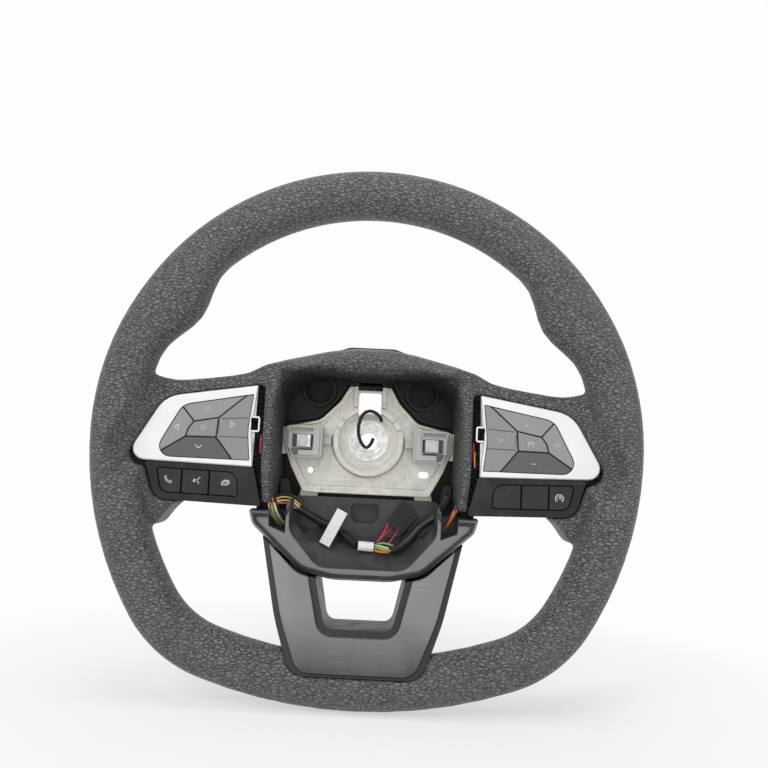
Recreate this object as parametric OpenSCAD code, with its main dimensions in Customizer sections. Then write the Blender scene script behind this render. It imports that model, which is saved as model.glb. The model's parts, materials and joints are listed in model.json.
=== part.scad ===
// Car steering wheel: moulded rim and hub on a cast armature, with two switch pods, a U-shaped
// lower spoke and an open recess where the airbag module clips in.
// X runs to the driver's right, Y away from the driver along the column, Z up.
// The origin is the rear mouth of the column socket.

/* [Rim] */
// Overall width of the rim
rim_w = 375; // [365:1:390]
// Radius of the rim's lower sides
rim_side_r = 230; // [215:1:260]
// Radius of the rim's lower shoulders
rim_shoulder_r = 92; // [80:1:100]
// Radius of the flattened bottom
rim_bottom_r = 320; // [300:1:360]
// Distance from the rim's centre down to its flattened bottom
rim_drop = 178; // [174:1:182]
// Radial width of the grip
grip_w = 34; // [32:0.5:36]
// Thickness of the grip from front to back
grip_t = 31; // [28:0.5:34]
// How far each thumb rest swells inwards
thumb_rise = 11.6; // [8:0.1:14]
// Angle of each thumb rest above the horizontal
thumb_at = 33.5; // [31:0.5:36]
// Radius of the cast core inside the grip
core_r = 5; // [4:0.5:5.5]

/* [Hub] */
// Distance from the middle of the rim back to the column socket's mouth
hub_depth = 78; // [74:1:90]
// Radius of the column socket
socket_r = 8.5; // [8:0.1:9.5]
// Length of the column socket
socket_l = 20; // [16:1:22]
// Radius of the hole for the column bolt
bolt_r = 6.6; // [6:0.1:7.5]
// Distance from the middle of the rim back to the front of the hub plate
plate_y = 46; // [45:0.5:47]
// Thickness of the hub plate
plate_t = 6; // [5:0.5:7]
// Half width of the airbag recess at its lip
recess_hw = 66; // [64:0.5:67]
// Height of the recess's upper edge above the wheel's centre
recess_top = 49.5; // [47:0.5:51]
// Wall of the plastic covers
cover_t = 2.4; // [2:0.1:2.8]

/* [Switch pods] */
// Tilt of each pod's face towards the driver
pod_tilt = 6.4; // [5.5:0.1:7.5]
// Thickness of the bright bezel
bezel_t = 2.2; // [1.8:0.1:2.6]
// Depth of a switch housing behind the face
housing_d = 20.5; // [19.5:0.5:21]
// Gap between neighbouring buttons
button_gap = 0.8; // [0.6:0.1:1.1]
// Travel of a button
button_travel = 1; // [0.6:0.1:1]
// Thickness of a button's cap
cap_t = 4.6; // [4:0.1:5.4]
// Radius of a button's stem
stem_r = 2; // [1.6:0.1:2.2]

/* [Lower spoke] */
// Slope of the lower spoke's face
spoke_slope = 20; // [17:0.5:21]
// Wall of the lower spoke's shells
spoke_wall = 2.2; // [1.8:0.1:2.6]

/* [Airbag clips] */
// Travel of a clip's latch
latch_travel = 3; // [2:0.5:3]

/* [Hidden] */

// Running gap between a moving piece and its guide
slip = 0.3;
// Gap between pieces that are only laid together
seam = 0.4;
rim_r = rim_w / 2;
dark = [0.16, 0.16, 0.17];
foam = [0.25, 0.26, 0.27];
cast = [0.76, 0.75, 0.71];
steel = [0.6, 0.6, 0.6];
bright = [0.86, 0.87, 0.88];
grey = [0.42, 0.44, 0.46];
cap_grey = [0.33, 0.33, 0.35];

// The rim's outline is a chain of arcs, each named by the direction its outside faces.
side_c = [rim_r - rim_side_r, 0];
bottom_c = [0, rim_bottom_r - rim_drop];
shoulder_c = meeting(side_c, rim_side_r - rim_shoulder_r, bottom_c, rim_bottom_r - rim_shoulder_r);
side_end = bearing(shoulder_c - side_c);
shoulder_end = bearing(shoulder_c - bottom_c);

// Outlines are drawn for a rim of this half width and this drop. Points near the rim move
// with it, those of the hub stay, and those between them are spread evenly.
drawn = [187.5, 178];
hub_reach = [66.5, 100];
rim_reach = [150, 142];
moved = [rim_r - drawn[0], rim_drop - drawn[1]];
function carried(v, k) =
    v <= hub_reach[k] ? v :
    v >= rim_reach[k] ? v + moved[k] :
    v + moved[k] * (v - hub_reach[k]) / (rim_reach[k] - hub_reach[k]);
function spread(x) = sign(x) * carried(abs(x), 0);
function lowered(z) = z > 0 ? z : -carried(-z, 1);
function fitted(P) = [for (p = P) [spread(p.x), lowered(p.y), each (len(p) > 2 ? [p[2]] : [])]];

function bearing(v) = atan2(v.y, v.x);
function unit(v) = v / norm(v);
function mirrored(v) = [-v.x, v.y];
// The right-hand point at distance ra from a and rb from b
function meeting(a, ra, b, rb) =
    let (d = norm(b - a), u = (b - a) / d, t = (ra * ra - rb * rb + d * d) / (2 * d))
    a + u * t + [u.y, -u.x] * sqrt(ra * ra - t * t);

function arc_centre(q) =
    q >= 0 ? [0, 0] : q > side_end ? side_c : q > shoulder_end ? shoulder_c : bottom_c;
function arc_radius(q) =
    q >= 0 ? rim_r : q > side_end ? rim_side_r : q > shoulder_end ? rim_shoulder_r : rim_bottom_r;
// Point on the rim's outline where it faces direction q, moved inwards by a depth
function right_edge(q, depth) = arc_centre(q) + (arc_radius(q) - depth) * [cos(q), sin(q)];
function rim_edge(q, depth) = q > 90 ? mirrored(right_edge(180 - q, depth)) : right_edge(q, depth);
// Swelling of the thumb rests, as a raised cosine on each side
thumb_half = 14.8;
function swell(q) =
    let (off = (q > 90 ? 180 - q : q) - thumb_at)
    abs(off) > thumb_half ? 0 : thumb_rise * (1 + cos(180 * off / thumb_half)) / 2;
function power(v, n) = sign(v) * pow(abs(v), n);

// Rounded outline from corners [x, z, radius], with a number of steps on each arc
function corner(p, a, b, r, steps) =
    let (
        u = unit(a - p),
        v = unit(b - p),
        half = acos(u * v) / 2,
        c = p + unit(u + v) * r / sin(half),
        a0 = bearing(p + u * r / tan(half) - c),
        turn = (bearing(p + v * r / tan(half) - c) - a0 + 540) % 360 - 180
    )
    [for (i = [0 : steps]) c + r * [cos(a0 + turn * i / steps), sin(a0 + turn * i / steps)]];
function flat(p) = [p.x, p.y];
function rounded(P, steps = 5) =
    [for (i = [0 : len(P) - 1])
        let (before = P[(i + len(P) - 1) % len(P)], after = P[(i + 1) % len(P)])
        each corner(flat(P[i]), flat(before), flat(after), P[i][2], steps)];
// Corners moved inwards by d, for corners listed anticlockwise
function shrunk(P, d) =
    [for (i = [0 : len(P) - 1])
        let (
            p = flat(P[i]),
            u = unit(p - flat(P[(i + len(P) - 1) % len(P)])),
            v = unit(flat(P[(i + 1) % len(P)]) - p),
            n = unit([-u.y, u.x] + [-v.y, v.x]),
            q = p + n * d / (n * [-u.y, u.x])
        )
        [q.x, q.y, max(P[i][2] - d, 0.4)]];
// Plain corners moved outwards by d, for corners listed anticlockwise
function grown(P, d) = [for (p = shrunk([for (q = P) [q.x, q.y, 0]], -d)) flat(p)];
// A left half mirrored from a right half listed anticlockwise from the bottom to the top
function both_sides(P) = concat(P, [for (i = [len(P) - 1 : -1 : 0]) [-P[i].x, P[i].y, P[i][2]]]);

// Solid through rings of points, each ring anticlockwise when seen from the last one
module skin(rings) {
    n = len(rings[0]);
    m = len(rings);
    polyhedron(
        points = [for (r = rings) each r],
        faces = concat(
            [[for (i = [0 : n - 1]) i]],
            [for (k = [0 : m - 2]) for (i = [0 : n - 1])
                [i + k * n, i + (k + 1) * n, (i + 1) % n + (k + 1) * n, (i + 1) % n + k * n]],
            [[for (i = [n - 1 : -1 : 0]) i + (m - 1) * n]]
        )
    );
}
// Closed ring of sections, each section anticlockwise when seen along the path
module ring_skin(rings) {
    n = len(rings[0]);
    m = len(rings);
    polyhedron(
        points = [for (r = rings) each r],
        faces = [for (k = [0 : m - 1]) for (i = [0 : n - 1])
            [i + k * n, i + (k + 1) % m * n, (i + 1) % n + (k + 1) % m * n, (i + 1) % n + k * n]]
    );
}
function at_y(outline, y) = [for (p = outline) [p.x, y, p.y]];
// Plate of an outline in X and Z, from y0 back to y1
module slab(outline, y0, y1) {
    translate([0, y1, 0])
        rotate([90, 0, 0])
            linear_extrude(y1 - y0)
                polygon([for (p = outline) flat(p)]);
}
// Plate of an outline in Y and Z, from x0 to x1
module side_slab(outline, x0, x1) {
    translate([x0, 0, 0])
        rotate([90, 0, 90])
            linear_extrude(x1 - x0)
                polygon(outline);
}
// Round pin along Y
module rod(x, z, r, y0, y1) {
    translate([x, y1, z])
        rotate([90, 0, 0])
            cylinder(r = r, h = y1 - y0, $fn = 40);
}
module both() {
    children();
    mirror([1, 0, 0]) children();
}
// All modules are drawn about the rim's centre, and this puts the origin at the socket's mouth
module placed() {
    translate([0, -hub_depth, 0]) children();
}

// Rim grip, spokes and hub moulding

rim_rings = 96;
section_points = 16;
function rim_section(q, swelling, t, w) =
    [for (i = [0 : section_points - 1])
        let (
            a = 360 * i / section_points,
            depth = (w + swelling) / 2 * (1 - power(cos(a), 0.88)),
            p = rim_edge(q, depth)
        )
        [p.x, t / 2 * power(sin(a), 0.88), p.y]];
module grip_ring() {
    ring_skin([for (k = [0 : rim_rings - 1])
        let (q = 360 * k / rim_rings - 90)
        rim_section(q, swell(q), grip_t, grip_w)]);
}
// The core lies a little behind the middle of the grip, clear of the pods' scoops.
core_rings = 48;
core_y = 5;
module core_ring(r) {
    ring_skin([for (k = [0 : core_rings - 1])
        let (q = 360 * k / core_rings - 90)
        [for (i = [0 : 7])
            let (p = rim_edge(q, grip_w / 2 - r * cos(45 * i + 22.5)))
            [p.x, core_y + r * sin(45 * i + 22.5), p.y]]]);
}

// Sections of a side spoke: X, front Y, back Y, lower Z, upper Z
spoke_sections = [
    [60, 12, 50, -46, 54],
    [74, 12, 50, -48, 50],
    [86, 11, 50, -49.2, 43.4],
    [98, 9.6, 50, -49, 40.5],
    [112, 8, 49, -48.4, 38.2],
    [128, 6.2, 47, -47.6, 35.9],
    [135, 5.2, 45, -55, 35.5],
    [141, 4, 43.5, -64, 36.2],
    [147, 1, 41.5, -66, 37.4],
    [152, -2, 39, -63, 38],
    [158, -5, 34, -55, 36],
    [164, -8, 27, -46, 32],
    [170, -9, 20, -38, 28],
    [175, -9, 14, -32, 24]
];
spoke_front_r = 5;
spoke_back_r = 13;
// Section of a spoke in Y and Z, with round corners
function spoke_ring(s) =
    [for (p = rounded([
        [s[1], s[4], spoke_front_r],
        [s[1], s[3], spoke_front_r],
        [s[2], s[3], min(spoke_back_r, (s[2] - s[1]) / 2 - 0.5)],
        [s[2], s[4], min(spoke_back_r, (s[2] - s[1]) / 2 - 0.5)]
    ], 3))
        [spread(s[0]), p.x, p.y]];
module spoke_body() {
    skin([for (s = spoke_sections) spoke_ring(s)]);
}

// Outline of the hub from the front: the brow, then the sides and the chin
lip_y = 9;
foam_back = 50;
hub_side = spread(82);
brow = fitted([
    [82, 43.5, 10],
    [66, 54.5, 18],
    [32, 62.8, 30],
    [13, 66, 20]
]);
// The rear cover stands a little proud of the brow.
cover_brow = fitted([
    [82, 43.5, 10],
    [66, 55.5, 18],
    [31, 65.3, 24],
    [17, 70.2, 14]
]);
chin = fitted([
    [20, -97.6, 40],
    [43, -92.5, 20],
    [77.5, -62, 10],
    [80.5, -51.5, 1.5]
]);
hub_outline = both_sides(concat(chin, [[hub_side, -46, 1.5]], cover_brow));
block_outline = both_sides(concat([[hub_side, -46, 1.5]], brow));
module hub_block() {
    skin([for (s = [[foam_back, 0], [28, 0], [17, 3], [11, 8], [lip_y, 11]])
        at_y(rounded(shrunk(block_outline, s[1])), s[0])]);
}
// Recess for the airbag module
function recess_outline(d) = both_sides([
    [recess_hw - d, -120, 1],
    [recess_hw - d, recess_top - d, 32]
]);
recess_draft = 4;
module recess_space() {
    skin([
        at_y(rounded(recess_outline(recess_draft), 8), foam_back + 5),
        at_y(rounded(recess_outline(1.5), 8), lip_y + 7),
        at_y(rounded(recess_outline(0), 8), lip_y + 3),
        at_y(rounded(recess_outline(-1), 8), lip_y - 1)
    ]);
}
// Hooked rib under the recess's upper lip, with a groove above it
hook_hw = 24.5;
hook_z = [46.3, 48.5];
hook_y = [12, 17];
module hook_groove() {
    block_y(-hook_hw - 1, hook_hw + 1, lip_y - 2, hook_y[1] - 1.5, hook_z[0], hook_z[1] + 1.2);
}
module hook_rib() {
    slab(rounded([
        [-hook_hw, hook_z[0], 1],
        [hook_hw, hook_z[0], 1],
        [hook_hw, hook_z[1], 1],
        [-hook_hw, hook_z[1], 1]
    ], 3), hook_y[0], hook_y[1]);
}
// Step in the face of the casting's web. A tongue of foam lies in it.
step_hw = [8.8, 16.5];
step_z = [37.5, 40];
step_d = 3;
module web_step(gap, y0, top) {
    block_y(-step_hw[0] + gap, step_hw[0] - gap, y0, plate_y + step_d - gap, step_z[0] + gap, top);
    block_y(-step_hw[1] + gap, step_hw[1] - gap, y0, plate_y + step_d - gap, step_z[1] + gap, top);
}

// Switch pods, drawn on the right in their own frame: x along the face, y back into the pod

pod_root = [spread(75), 12];
module on_pod() {
    translate([pod_root.x, pod_root.y, 0]) rotate([0, 0, -pod_tilt]) children();
}
function local(P) = [for (p = P) [(spread(p.x) - pod_root.x) / cos(pod_tilt), p.y, p[2]]];
bezel_corners = local([
    [78.6, -22.8, 1],
    [165.2, -20.9, 8],
    [140.9, 23.2, 22],
    [77.8, 34.4, 1],
    [81.2, 4, 60]
]);
opening_corners = local([
    [80.9, -18.6, 0.8],
    [147.3, -18.4, 7.8],
    [128.6, 18.3, 12],
    [80.4, 28, 0.8],
    [83.2, 2, 60]
]);
panel_corners = local([
    [71.4, -49.6, 1.5],
    [143.4, -47.2, 11],
    [151, -22, 1],
    [77.9, -23.2, 0.5]
]);
keys_corners = local([
    [87.5, -44, 2],
    [139.7, -42.8, 7],
    [143.4, -25.4, 2.5],
    [88.5, -26.8, 8]
]);
pocket_corners = local([
    [70.4, -50.2, 1.5],
    [144, -47.8, 11.4],
    [151, -26, 3],
    [165.8, -21.4, 8.4],
    [141.1, 23.7, 22.4],
    [78, 34.9, 1],
    [73, 34.9, 1],
    [73, -21, 1]
]);
// Depths behind the pod's face, from the key fronts back to the screw heads
panel_y = 1.2;
face_drop = 0.7;
deck_t = 2;
mat_t = 1.2;
board_t = 1.6;
lid_t = 2;
screw_head_t = 1.8;
deck_y = panel_y + face_drop + cap_t + button_travel + 0.5;
stem_end = deck_y + deck_t + mat_t;
dome_y = stem_end + button_travel + 0.2;
mat_y = dome_y + mat_t;
board_y = mat_y + mat_t;
flange_d = deck_y + deck_t;
pocket_d = housing_d + lid_t + screw_head_t + 0.2;
// Where the deep part of the pod ends, along its face
deep_x = (spread(146.55) - pod_root.x) / cos(pod_tilt);
scoop_rise = 15;
// The deep part of the pod, grown by a gap at its outer end
module deep_part(gap) {
    translate([-20, -5, -70]) cube([20 + deep_x + gap, 45, 120]);
}
// Pocket for the pod, with a scoop that leads the rim's surface down to the bezel
module pod_pocket() {
    on_pod() {
        slab(rounded(pocket_corners), -30, flange_d + seam);
        intersection() {
            slab(rounded(pocket_corners), 0, pocket_d);
            deep_part(seam);
        }
        skin([
            at_y(rounded(shrunk(bezel_corners, 2)), 3),
            at_y(rounded(shrunk(bezel_corners, -seam)), 0),
            at_y(rounded(shrunk(bezel_corners, -scoop_rise)), -scoop_rise),
            at_y(rounded(shrunk(bezel_corners, -scoop_rise)), -40)
        ]);
    }
}

// Side arm of the armature: its line in X and Y, front then back
arm_front = fitted([
    [56, 46.4], [64, 46], [76, 44], [120, 37], [146, 32.5], [153, 26], [158, 18], [163, 14], [168, 8]
]);
arm_back = fitted([
    [173, 8], [172, 12], [166, 20], [159, 29.5], [150, 37.5], [121, 43], [77, 50], [56, 51]
]);
arm_top = 8;
arm_bottom = -12;
module side_arm(gap) {
    translate([0, 0, arm_bottom - gap])
        linear_extrude(arm_top - arm_bottom + 2 * gap)
            polygon(grown(concat(arm_front, arm_back), gap));
}
// Lower arms of the armature: the front and back line in Y and Z, and the middle line in X and Z
low_arm_front = fitted([[50.5, -26], [50.5, -80], [1, -150], [2, -166]]);
low_arm_back = fitted([[8, -166], [10, -150], [56.5, -84], [56.5, -26]]);
low_arm_line = fitted([[40, -26], [48, -78], [33, -166]]);
low_arm_hw = 6.5;
module lower_arm_bar(gap) {
    intersection() {
        slab(grown(concat(
            [for (p = low_arm_line) p - [low_arm_hw, 0]],
            [for (i = [len(low_arm_line) - 1 : -1 : 0]) low_arm_line[i] + [low_arm_hw, 0]]
        ), gap), -20, 80);
        side_slab(grown(concat(low_arm_front, low_arm_back), gap), 10, 80);
    }
}

// The foam is drawn in lengths that meet face to face, each of a simple form.
split_x = spread(138);
split_top = 42;
split_low = -70;
brow_half = 58;
brow_high = 70;
spoke_high = 60;
far = 400;
module foam_body() {
    difference() {
        union() {
            grip_ring();
            both() spoke_body();
            hub_block();
        }
        recess_space();
        hook_groove();
        both() pod_pocket();
        core_ring(core_r + slip);
        both() side_arm(slip);
        both() lower_arm_bar(slip);
        top_web(slip);
        spoke_seat();
    }
    hook_rib();
    web_step(slip, plate_y - 1.5, web_top - 5);
}
module block(x0, x1, z0, z1) {
    translate([x0, -far, z0]) cube([x1 - x0, 2 * far, z1 - z0]);
}
module foam_length(x0, x1, z0, z1) {
    color(foam) placed() intersection() {
        foam_body();
        block(x0, x1, z0, z1);
    }
}
module rim_grip() {
    difference() {
        foam_length(-far, far, split_top, far);
        placed() {
            block(-split_x, split_x, 0, spoke_high);
            block(-brow_half, brow_half, 0, brow_high);
        }
    }
}
module lower_rim_grip() { foam_length(-far, far, -far, split_low); }
module right_rim_grip() { foam_length(split_x, far, split_low, split_top); }
module left_rim_grip() { foam_length(-far, -split_x, split_low, split_top); }
module brow_grip() { foam_length(-brow_half, brow_half, split_low, brow_high); }
module right_spoke_grip() { foam_length(brow_half, split_x, split_low, spoke_high); }
module left_spoke_grip() { foam_length(-split_x, -brow_half, split_low, spoke_high); }

// Cast armature

// Rear cover's screws on the right: X, Z, and how far forward the shank reaches
screw_places = fitted([[68, -2, 47], [46, -66, 53]]);
screw_r = 2.4;
post_r = 4.5;
module screw_holes() {
    both() for (p = screw_places) rod(p.x, p.y, screw_r + 0.1, p[2] - 0.3, cover_back + 10);
}
web_hw = 14.5;
web_top = 53;
plate_corners = both_sides([
    [46.5, -39.3, 2],
    [56.5, -20.5, 6],
    [62.5, -4, 8],
    [62, 8.5, 3],
    [36, 14.2, 10],
    [22, 28.5, 14],
    [web_hw, 42, 6],
    [web_hw, web_top, 1]
]);
module top_web(gap) {
    slab([
        [-web_hw - gap, 44],
        [web_hw + gap, 44],
        [web_hw + gap, web_top + gap],
        [-web_hw - gap, web_top + gap]
    ], plate_y - gap, plate_y + plate_t + gap);
}
// Raised ring round the dish, lower and notched in its upper half
ring_r = 25.7;
ring_rise = 5;
ring_low = 3.4;
notch_w = 1.6;
dish_r = 22;
dish_d = 1.5;
dish_step_r = 18.6;
dish_step = 0.6;
window_hw = 8.4;
window_top = 36;
insert_r = 15;
boss_wall = 6;
// Ribs and grooves of the casting's face
rib_t = 1.2;
edge_rib = [0.4, 2];
edge_groove = [4.8, 5.5];
groove_d = 0.5;
web_rib = [0.7, 3.6];
pocket_in = 3.4;
pocket_t = 1.2;
hole_r = 2.4;
module plate_band(inset, y0, y1) {
    difference() {
        slab(rounded(shrunk(plate_corners, inset[0]), 4), y0, y1);
        slab(rounded(shrunk(plate_corners, inset[1]), 4), y0 - 1, y1 + 1);
    }
}
module plate_ribs() {
    difference() {
        plate_band(edge_rib, plate_y - rib_t, plate_y + 1);
        both() slab(rounded(shrunk(clip_corners, -seam)), plate_y - 3, plate_y);
        block(-web_hw, web_hw, ring_r, far);
    }
    both() translate([window_hw + web_rib[0], plate_y - 2, ring_r - 1])
        cube([web_rib[1] - web_rib[0], 3, 45 - ring_r]);
}
// Sunk triangles between the web, the ring and the upper edges
module plate_pockets() {
    intersection() {
        slab(rounded(shrunk(plate_corners, pocket_in), 4), plate_y - 1, plate_y + pocket_t);
        difference() {
            block(window_hw + web_rib[1] + 0.6, 33, 12, 43);
            rod(0, 0, ring_r + 2.2, 0, 90);
        }
    }
}
// Groove outside the lower half of the ring
module ring_groove() {
    difference() {
        rod(0, 0, ring_r + 1.4, plate_y - 1, plate_y + 2);
        rod(0, 0, ring_r, plate_y - 2, plate_y + 2);
        block(-far, far, 3, far);
    }
}
module ring_notches() {
    block_y(-far, far, plate_y - ring_rise - 1, plate_y - ring_low, 3, far);
    for (a = [20, 38]) rotate([0, -a, 0])
        block_y(dish_r - 1, ring_r + 1, plate_y - ring_rise - 1, plate_y - 1, -notch_w / 2, notch_w / 2);
}
module block_y(x0, x1, y0, y1, z0, z1) {
    translate([x0, y0, z0]) cube([x1 - x0, y1 - y0, z1 - z0]);
}
module castings() {
    difference() {
        union() {
            slab(rounded(plate_corners, 4), plate_y, plate_y + plate_t);
            plate_ribs();
            difference() {
                rod(0, 0, ring_r, plate_y - ring_rise, plate_y + plate_t);
                both() ring_notches();
            }
            rod(0, 0, insert_r + boss_wall, plate_y, plate_y + 20);
            both() side_arm(0);
            both() lower_arm_bar(0);
        }
        web_step(0, plate_y - 5, web_top + 1);
        both() plate_pockets();
        ring_groove();
        plate_band(edge_groove, plate_y - 1, plate_y + groove_d);
        screw_holes();
        rod(0, 0, dish_r, plate_y - 10, plate_y + dish_d);
        rod(0, 0, dish_step_r, plate_y - 10, plate_y + dish_d + dish_step);
        rod(0, 0, insert_r, plate_y - 10, plate_y + 30);
        slab(rounded([
            [-window_hw, 16, 0.5],
            [window_hw, 16, 0.5],
            [window_hw, window_top, 2],
            [-window_hw, window_top, 2]
        ], 4), plate_y - 10, plate_y + 8);
        rod(-41.8, -23.1, hole_r, plate_y - 1, plate_y + plate_t + 1);
        slab(rounded([
            [37.8, -25.6, hole_r],
            [45.8, -25.6, hole_r],
            [45.8, -20.6, hole_r],
            [37.8, -20.6, hole_r]
        ], 6), plate_y - 1, plate_y + plate_t + 1);
    }
}
// Where the plate's casting ends and the core inside the foam and the lower spoke begins
core_split_x = spread(100);
core_split_z = -84;
module armature() {
    color(cast) placed() intersection() {
        castings();
        block(-core_split_x, core_split_x, core_split_z, far);
    }
}
module rim_core() {
    color(cast) placed() difference() {
        union() {
            both() side_arm(0);
            both() lower_arm_bar(0);
            core_ring(core_r);
        }
        block(-core_split_x, core_split_x, core_split_z, 80);
    }
}

// Turned groove in the insert's face
module ring_cut(r0, r1, y) {
    difference() {
        rod(0, 0, r1, y - 1, y + 0.4);
        rod(0, 0, r0, y - 2, y + 1);
    }
}
insert_front = plate_y + dish_d;
module hub_insert() {
    color(steel) placed() difference() {
        union() {
            rod(0, 0, insert_r, insert_front, hub_depth);
            rod(0, 0, 11, insert_front - 1.2, insert_front + 1);
        }
        ring_cut(12.6, 13.3, insert_front);
        ring_cut(8.6, 9.3, insert_front - 1.2);
        rod(0, 0, bolt_r, insert_front - 10, hub_depth + 10);
        rod(0, 0, socket_r, hub_depth - socket_l, hub_depth + 10);
    }
}

// Plastic covers round the hub

cover_back = 62;
floor_y = cover_back - cover_t;
module cover_opening() {
    slab(rounded(shrunk(plate_corners, 6), 4), floor_y - 20, cover_back + 20);
}
well_r = 10.5;
well_at = [39, 37.5];
well_d = 10;
collar_t = 2.4;
collar_rise = 3;
ledge_rise = 7;
// Ledge that follows the plate's upper edges, and the collars round the wells
module floor_ledges() {
    difference() {
        union() {
            intersection() {
                plate_band([-4.6, -2.6], floor_y - ledge_rise, floor_y + 1);
                block(-far, far, 13, 47);
            }
            both() rod(well_at.x, well_at.y, well_r + collar_t, floor_y - collar_rise, floor_y + 1);
        }
        slab(rounded(shrunk(plate_corners, -1.6), 4), 0, cover_back + 20);
    }
}
module rear_cover() {
    color(dark) placed() difference() {
        union() {
            difference() {
                skin([
                    at_y(rounded(shrunk(hub_outline, 10)), cover_back),
                    at_y(rounded(shrunk(hub_outline, 4)), cover_back - 2),
                    at_y(rounded(shrunk(hub_outline, 1)), cover_back - 7),
                    at_y(rounded(hub_outline), foam_back + seam)
                ]);
                skin([
                    at_y(rounded(shrunk(hub_outline, 10 + cover_t)), floor_y),
                    at_y(rounded(shrunk(hub_outline, 4 + cover_t)), floor_y - 2),
                    at_y(rounded(shrunk(hub_outline, 1 + cover_t)), cover_back - 7),
                    at_y(rounded(shrunk(hub_outline, cover_t)), foam_back - 1)
                ]);
            }
            floor_ledges();
            both() {
                rod(well_at.x, well_at.y, well_r + cover_t, floor_y, floor_y + well_d + cover_t);
                for (p = screw_places) rod(p.x, p.y, post_r, foam_back + 0.8, cover_back - 1);
            }
        }
        screw_holes();
        cover_opening();
        both() rod(well_at.x, well_at.y, well_r, floor_y - 5, floor_y + well_d);
        both() lower_arm_bar(seam);
    }
}

// The chin, with a tongue that reaches up under the plate
chin_outline = both_sides(concat(chin, [[57, -51.5, 1], [50, -41, 2]]));
chin_lip_y = 11;
// Bead round the chin's edge
bead_w = 5;
bead_rise = 1.3;
chin_floor_y = 46;
low_well = [[-10.2, -60, 5.5], [10.2, -60, 5.5], [10.2, -46, 3], [-10.2, -46, 3]];
low_well_d = 9;
// Bays for the wires, in front and behind
bay_back = 45;
bay_front = [[53.5, -67], [65, -62.5], [66.5, -45], [53.5, -45]];
bay_behind = [[30, -62], [46, -70], [55, -69], [65, -62.5], [66.5, -38], [30, -38]];
function bowl_outline(s) = both_sides([
    [s[0], s[2], s[3]],
    [s[1], s[2] + 24, s[3]],
    [s[1], -30, 1]
]);
module lower_cover() {
    color(dark) placed() difference() {
        union() {
            skin([
                at_y(rounded(shrunk(chin_outline, 1)), foam_back),
                at_y(rounded(chin_outline), 22),
                at_y(rounded(shrunk(chin_outline, 0.8)), chin_lip_y + 3),
                at_y(rounded(shrunk(chin_outline, 3)), chin_lip_y)
            ]);
            slab(rounded(shrunk(low_well, -cover_t)), chin_floor_y + 1, chin_floor_y + low_well_d + cover_t);
        }
        skin([
            at_y(rounded(bowl_outline([26, 46, -69, 11])), chin_floor_y),
            at_y(rounded(bowl_outline([30, 51, -88.4, 14])), chin_lip_y + 3.6),
            at_y(rounded(bowl_outline([30, 51, -89.2, 14])), chin_lip_y + 3),
            at_y(rounded(bowl_outline([31, 52, -91.4, 14])), chin_lip_y - 2)
        ]);
        slab(rounded(low_well), chin_floor_y - 1, chin_floor_y + low_well_d);
        both() {
            slab(bay_front, 0, bay_back);
            slab(bay_behind, 24, bay_back);
            lower_arm_bar(seam);
        }
        slab(rounded(shrunk(chin_outline, bead_w)), chin_lip_y - 5, chin_lip_y + bead_rise);
        side_slab([[foam_back + 1, -74], [foam_back + 1, -93], [28, -93], [28, -88]], -30, 30);
    }
}

// Lower spoke: a grey U-shaped trim on a black front shell, with a rear shell behind

spoke_face = 15;
spoke_face_z = -70;
spoke_corners = both_sides(fitted([
    [42.5, -154.6, 15],
    [56, -120, 120],
    [71.5, -62, 1]
]));
trim_corners = both_sides(fitted([
    [37.5, -152.2, 12],
    [51.5, -120, 110],
    [67.5, -62, 1]
]));
crest_corners = both_sides(fitted([
    [29.5, -147.4, 9],
    [41.5, -120, 100],
    [57.5, -62, 1]
]));
window_corners = both_sides(fitted([
    [22.3, -126.2, 7],
    [39.5, -62, 1]
]));
border_w = 4.5;
trim_t = 2.5;
trim_crest = 1.4;
parting_y = 20;
drawn_notch = -143;
drawn_fall = spoke_face_z - drawn_notch;
rim_notch = lowered(drawn_notch);
spoke_end = lowered(-160);
foot_t = 1.07;
foot_y = face_at(rim_notch) + trim_t + foot_t;
function face_at(z) =
    spoke_face + (z - spoke_face_z) * tan(spoke_slope) * drawn_fall / (spoke_face_z - rim_notch);
function at_face(outline, lift) = [for (p = outline) [p.x, face_at(p.y) + lift, p.y]];
module chin_space(gap) {
    slab(rounded(shrunk(chin_outline, -gap)), -30, 90);
}
spoke_back = 61;
// Side profile of the lower spoke in Y and Z, with the foot that lies on the rim
spoke_profile = [
    [face_at(-50) + trim_t, -50],
    [face_at(spoke_end) + trim_t, spoke_end],
    [foot_y, spoke_end],
    [foot_y, rim_notch],
    [parting_y, rim_notch],
    [spoke_back, -90],
    [spoke_back, -50]
];
// Hollow of the lower spoke
spoke_hollow = [
    [face_at(-50) + trim_t + spoke_wall, -50],
    [face_at(rim_notch + spoke_wall) + trim_t + spoke_wall, rim_notch + spoke_wall],
    [parting_y - spoke_wall, rim_notch + spoke_wall],
    [spoke_back - spoke_wall, -90 + spoke_wall],
    [spoke_back - spoke_wall, -50]
];
module spoke_form(profile, d) {
    intersection() {
        difference() {
            slab(rounded(shrunk(spoke_corners, d)), -40, 80);
            slab(rounded(shrunk(window_corners, -d)), -41, 81);
        }
        side_slab(profile, -100, 100);
    }
}
module spoke_shell() {
    difference() {
        spoke_form(spoke_profile, 0);
        spoke_form(spoke_hollow, spoke_wall);
        chin_space(seam);
        slab(rounded(shrunk(hub_outline, -seam)), foam_back, 90);
        both() lower_arm_bar(seam);
    }
}
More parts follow.
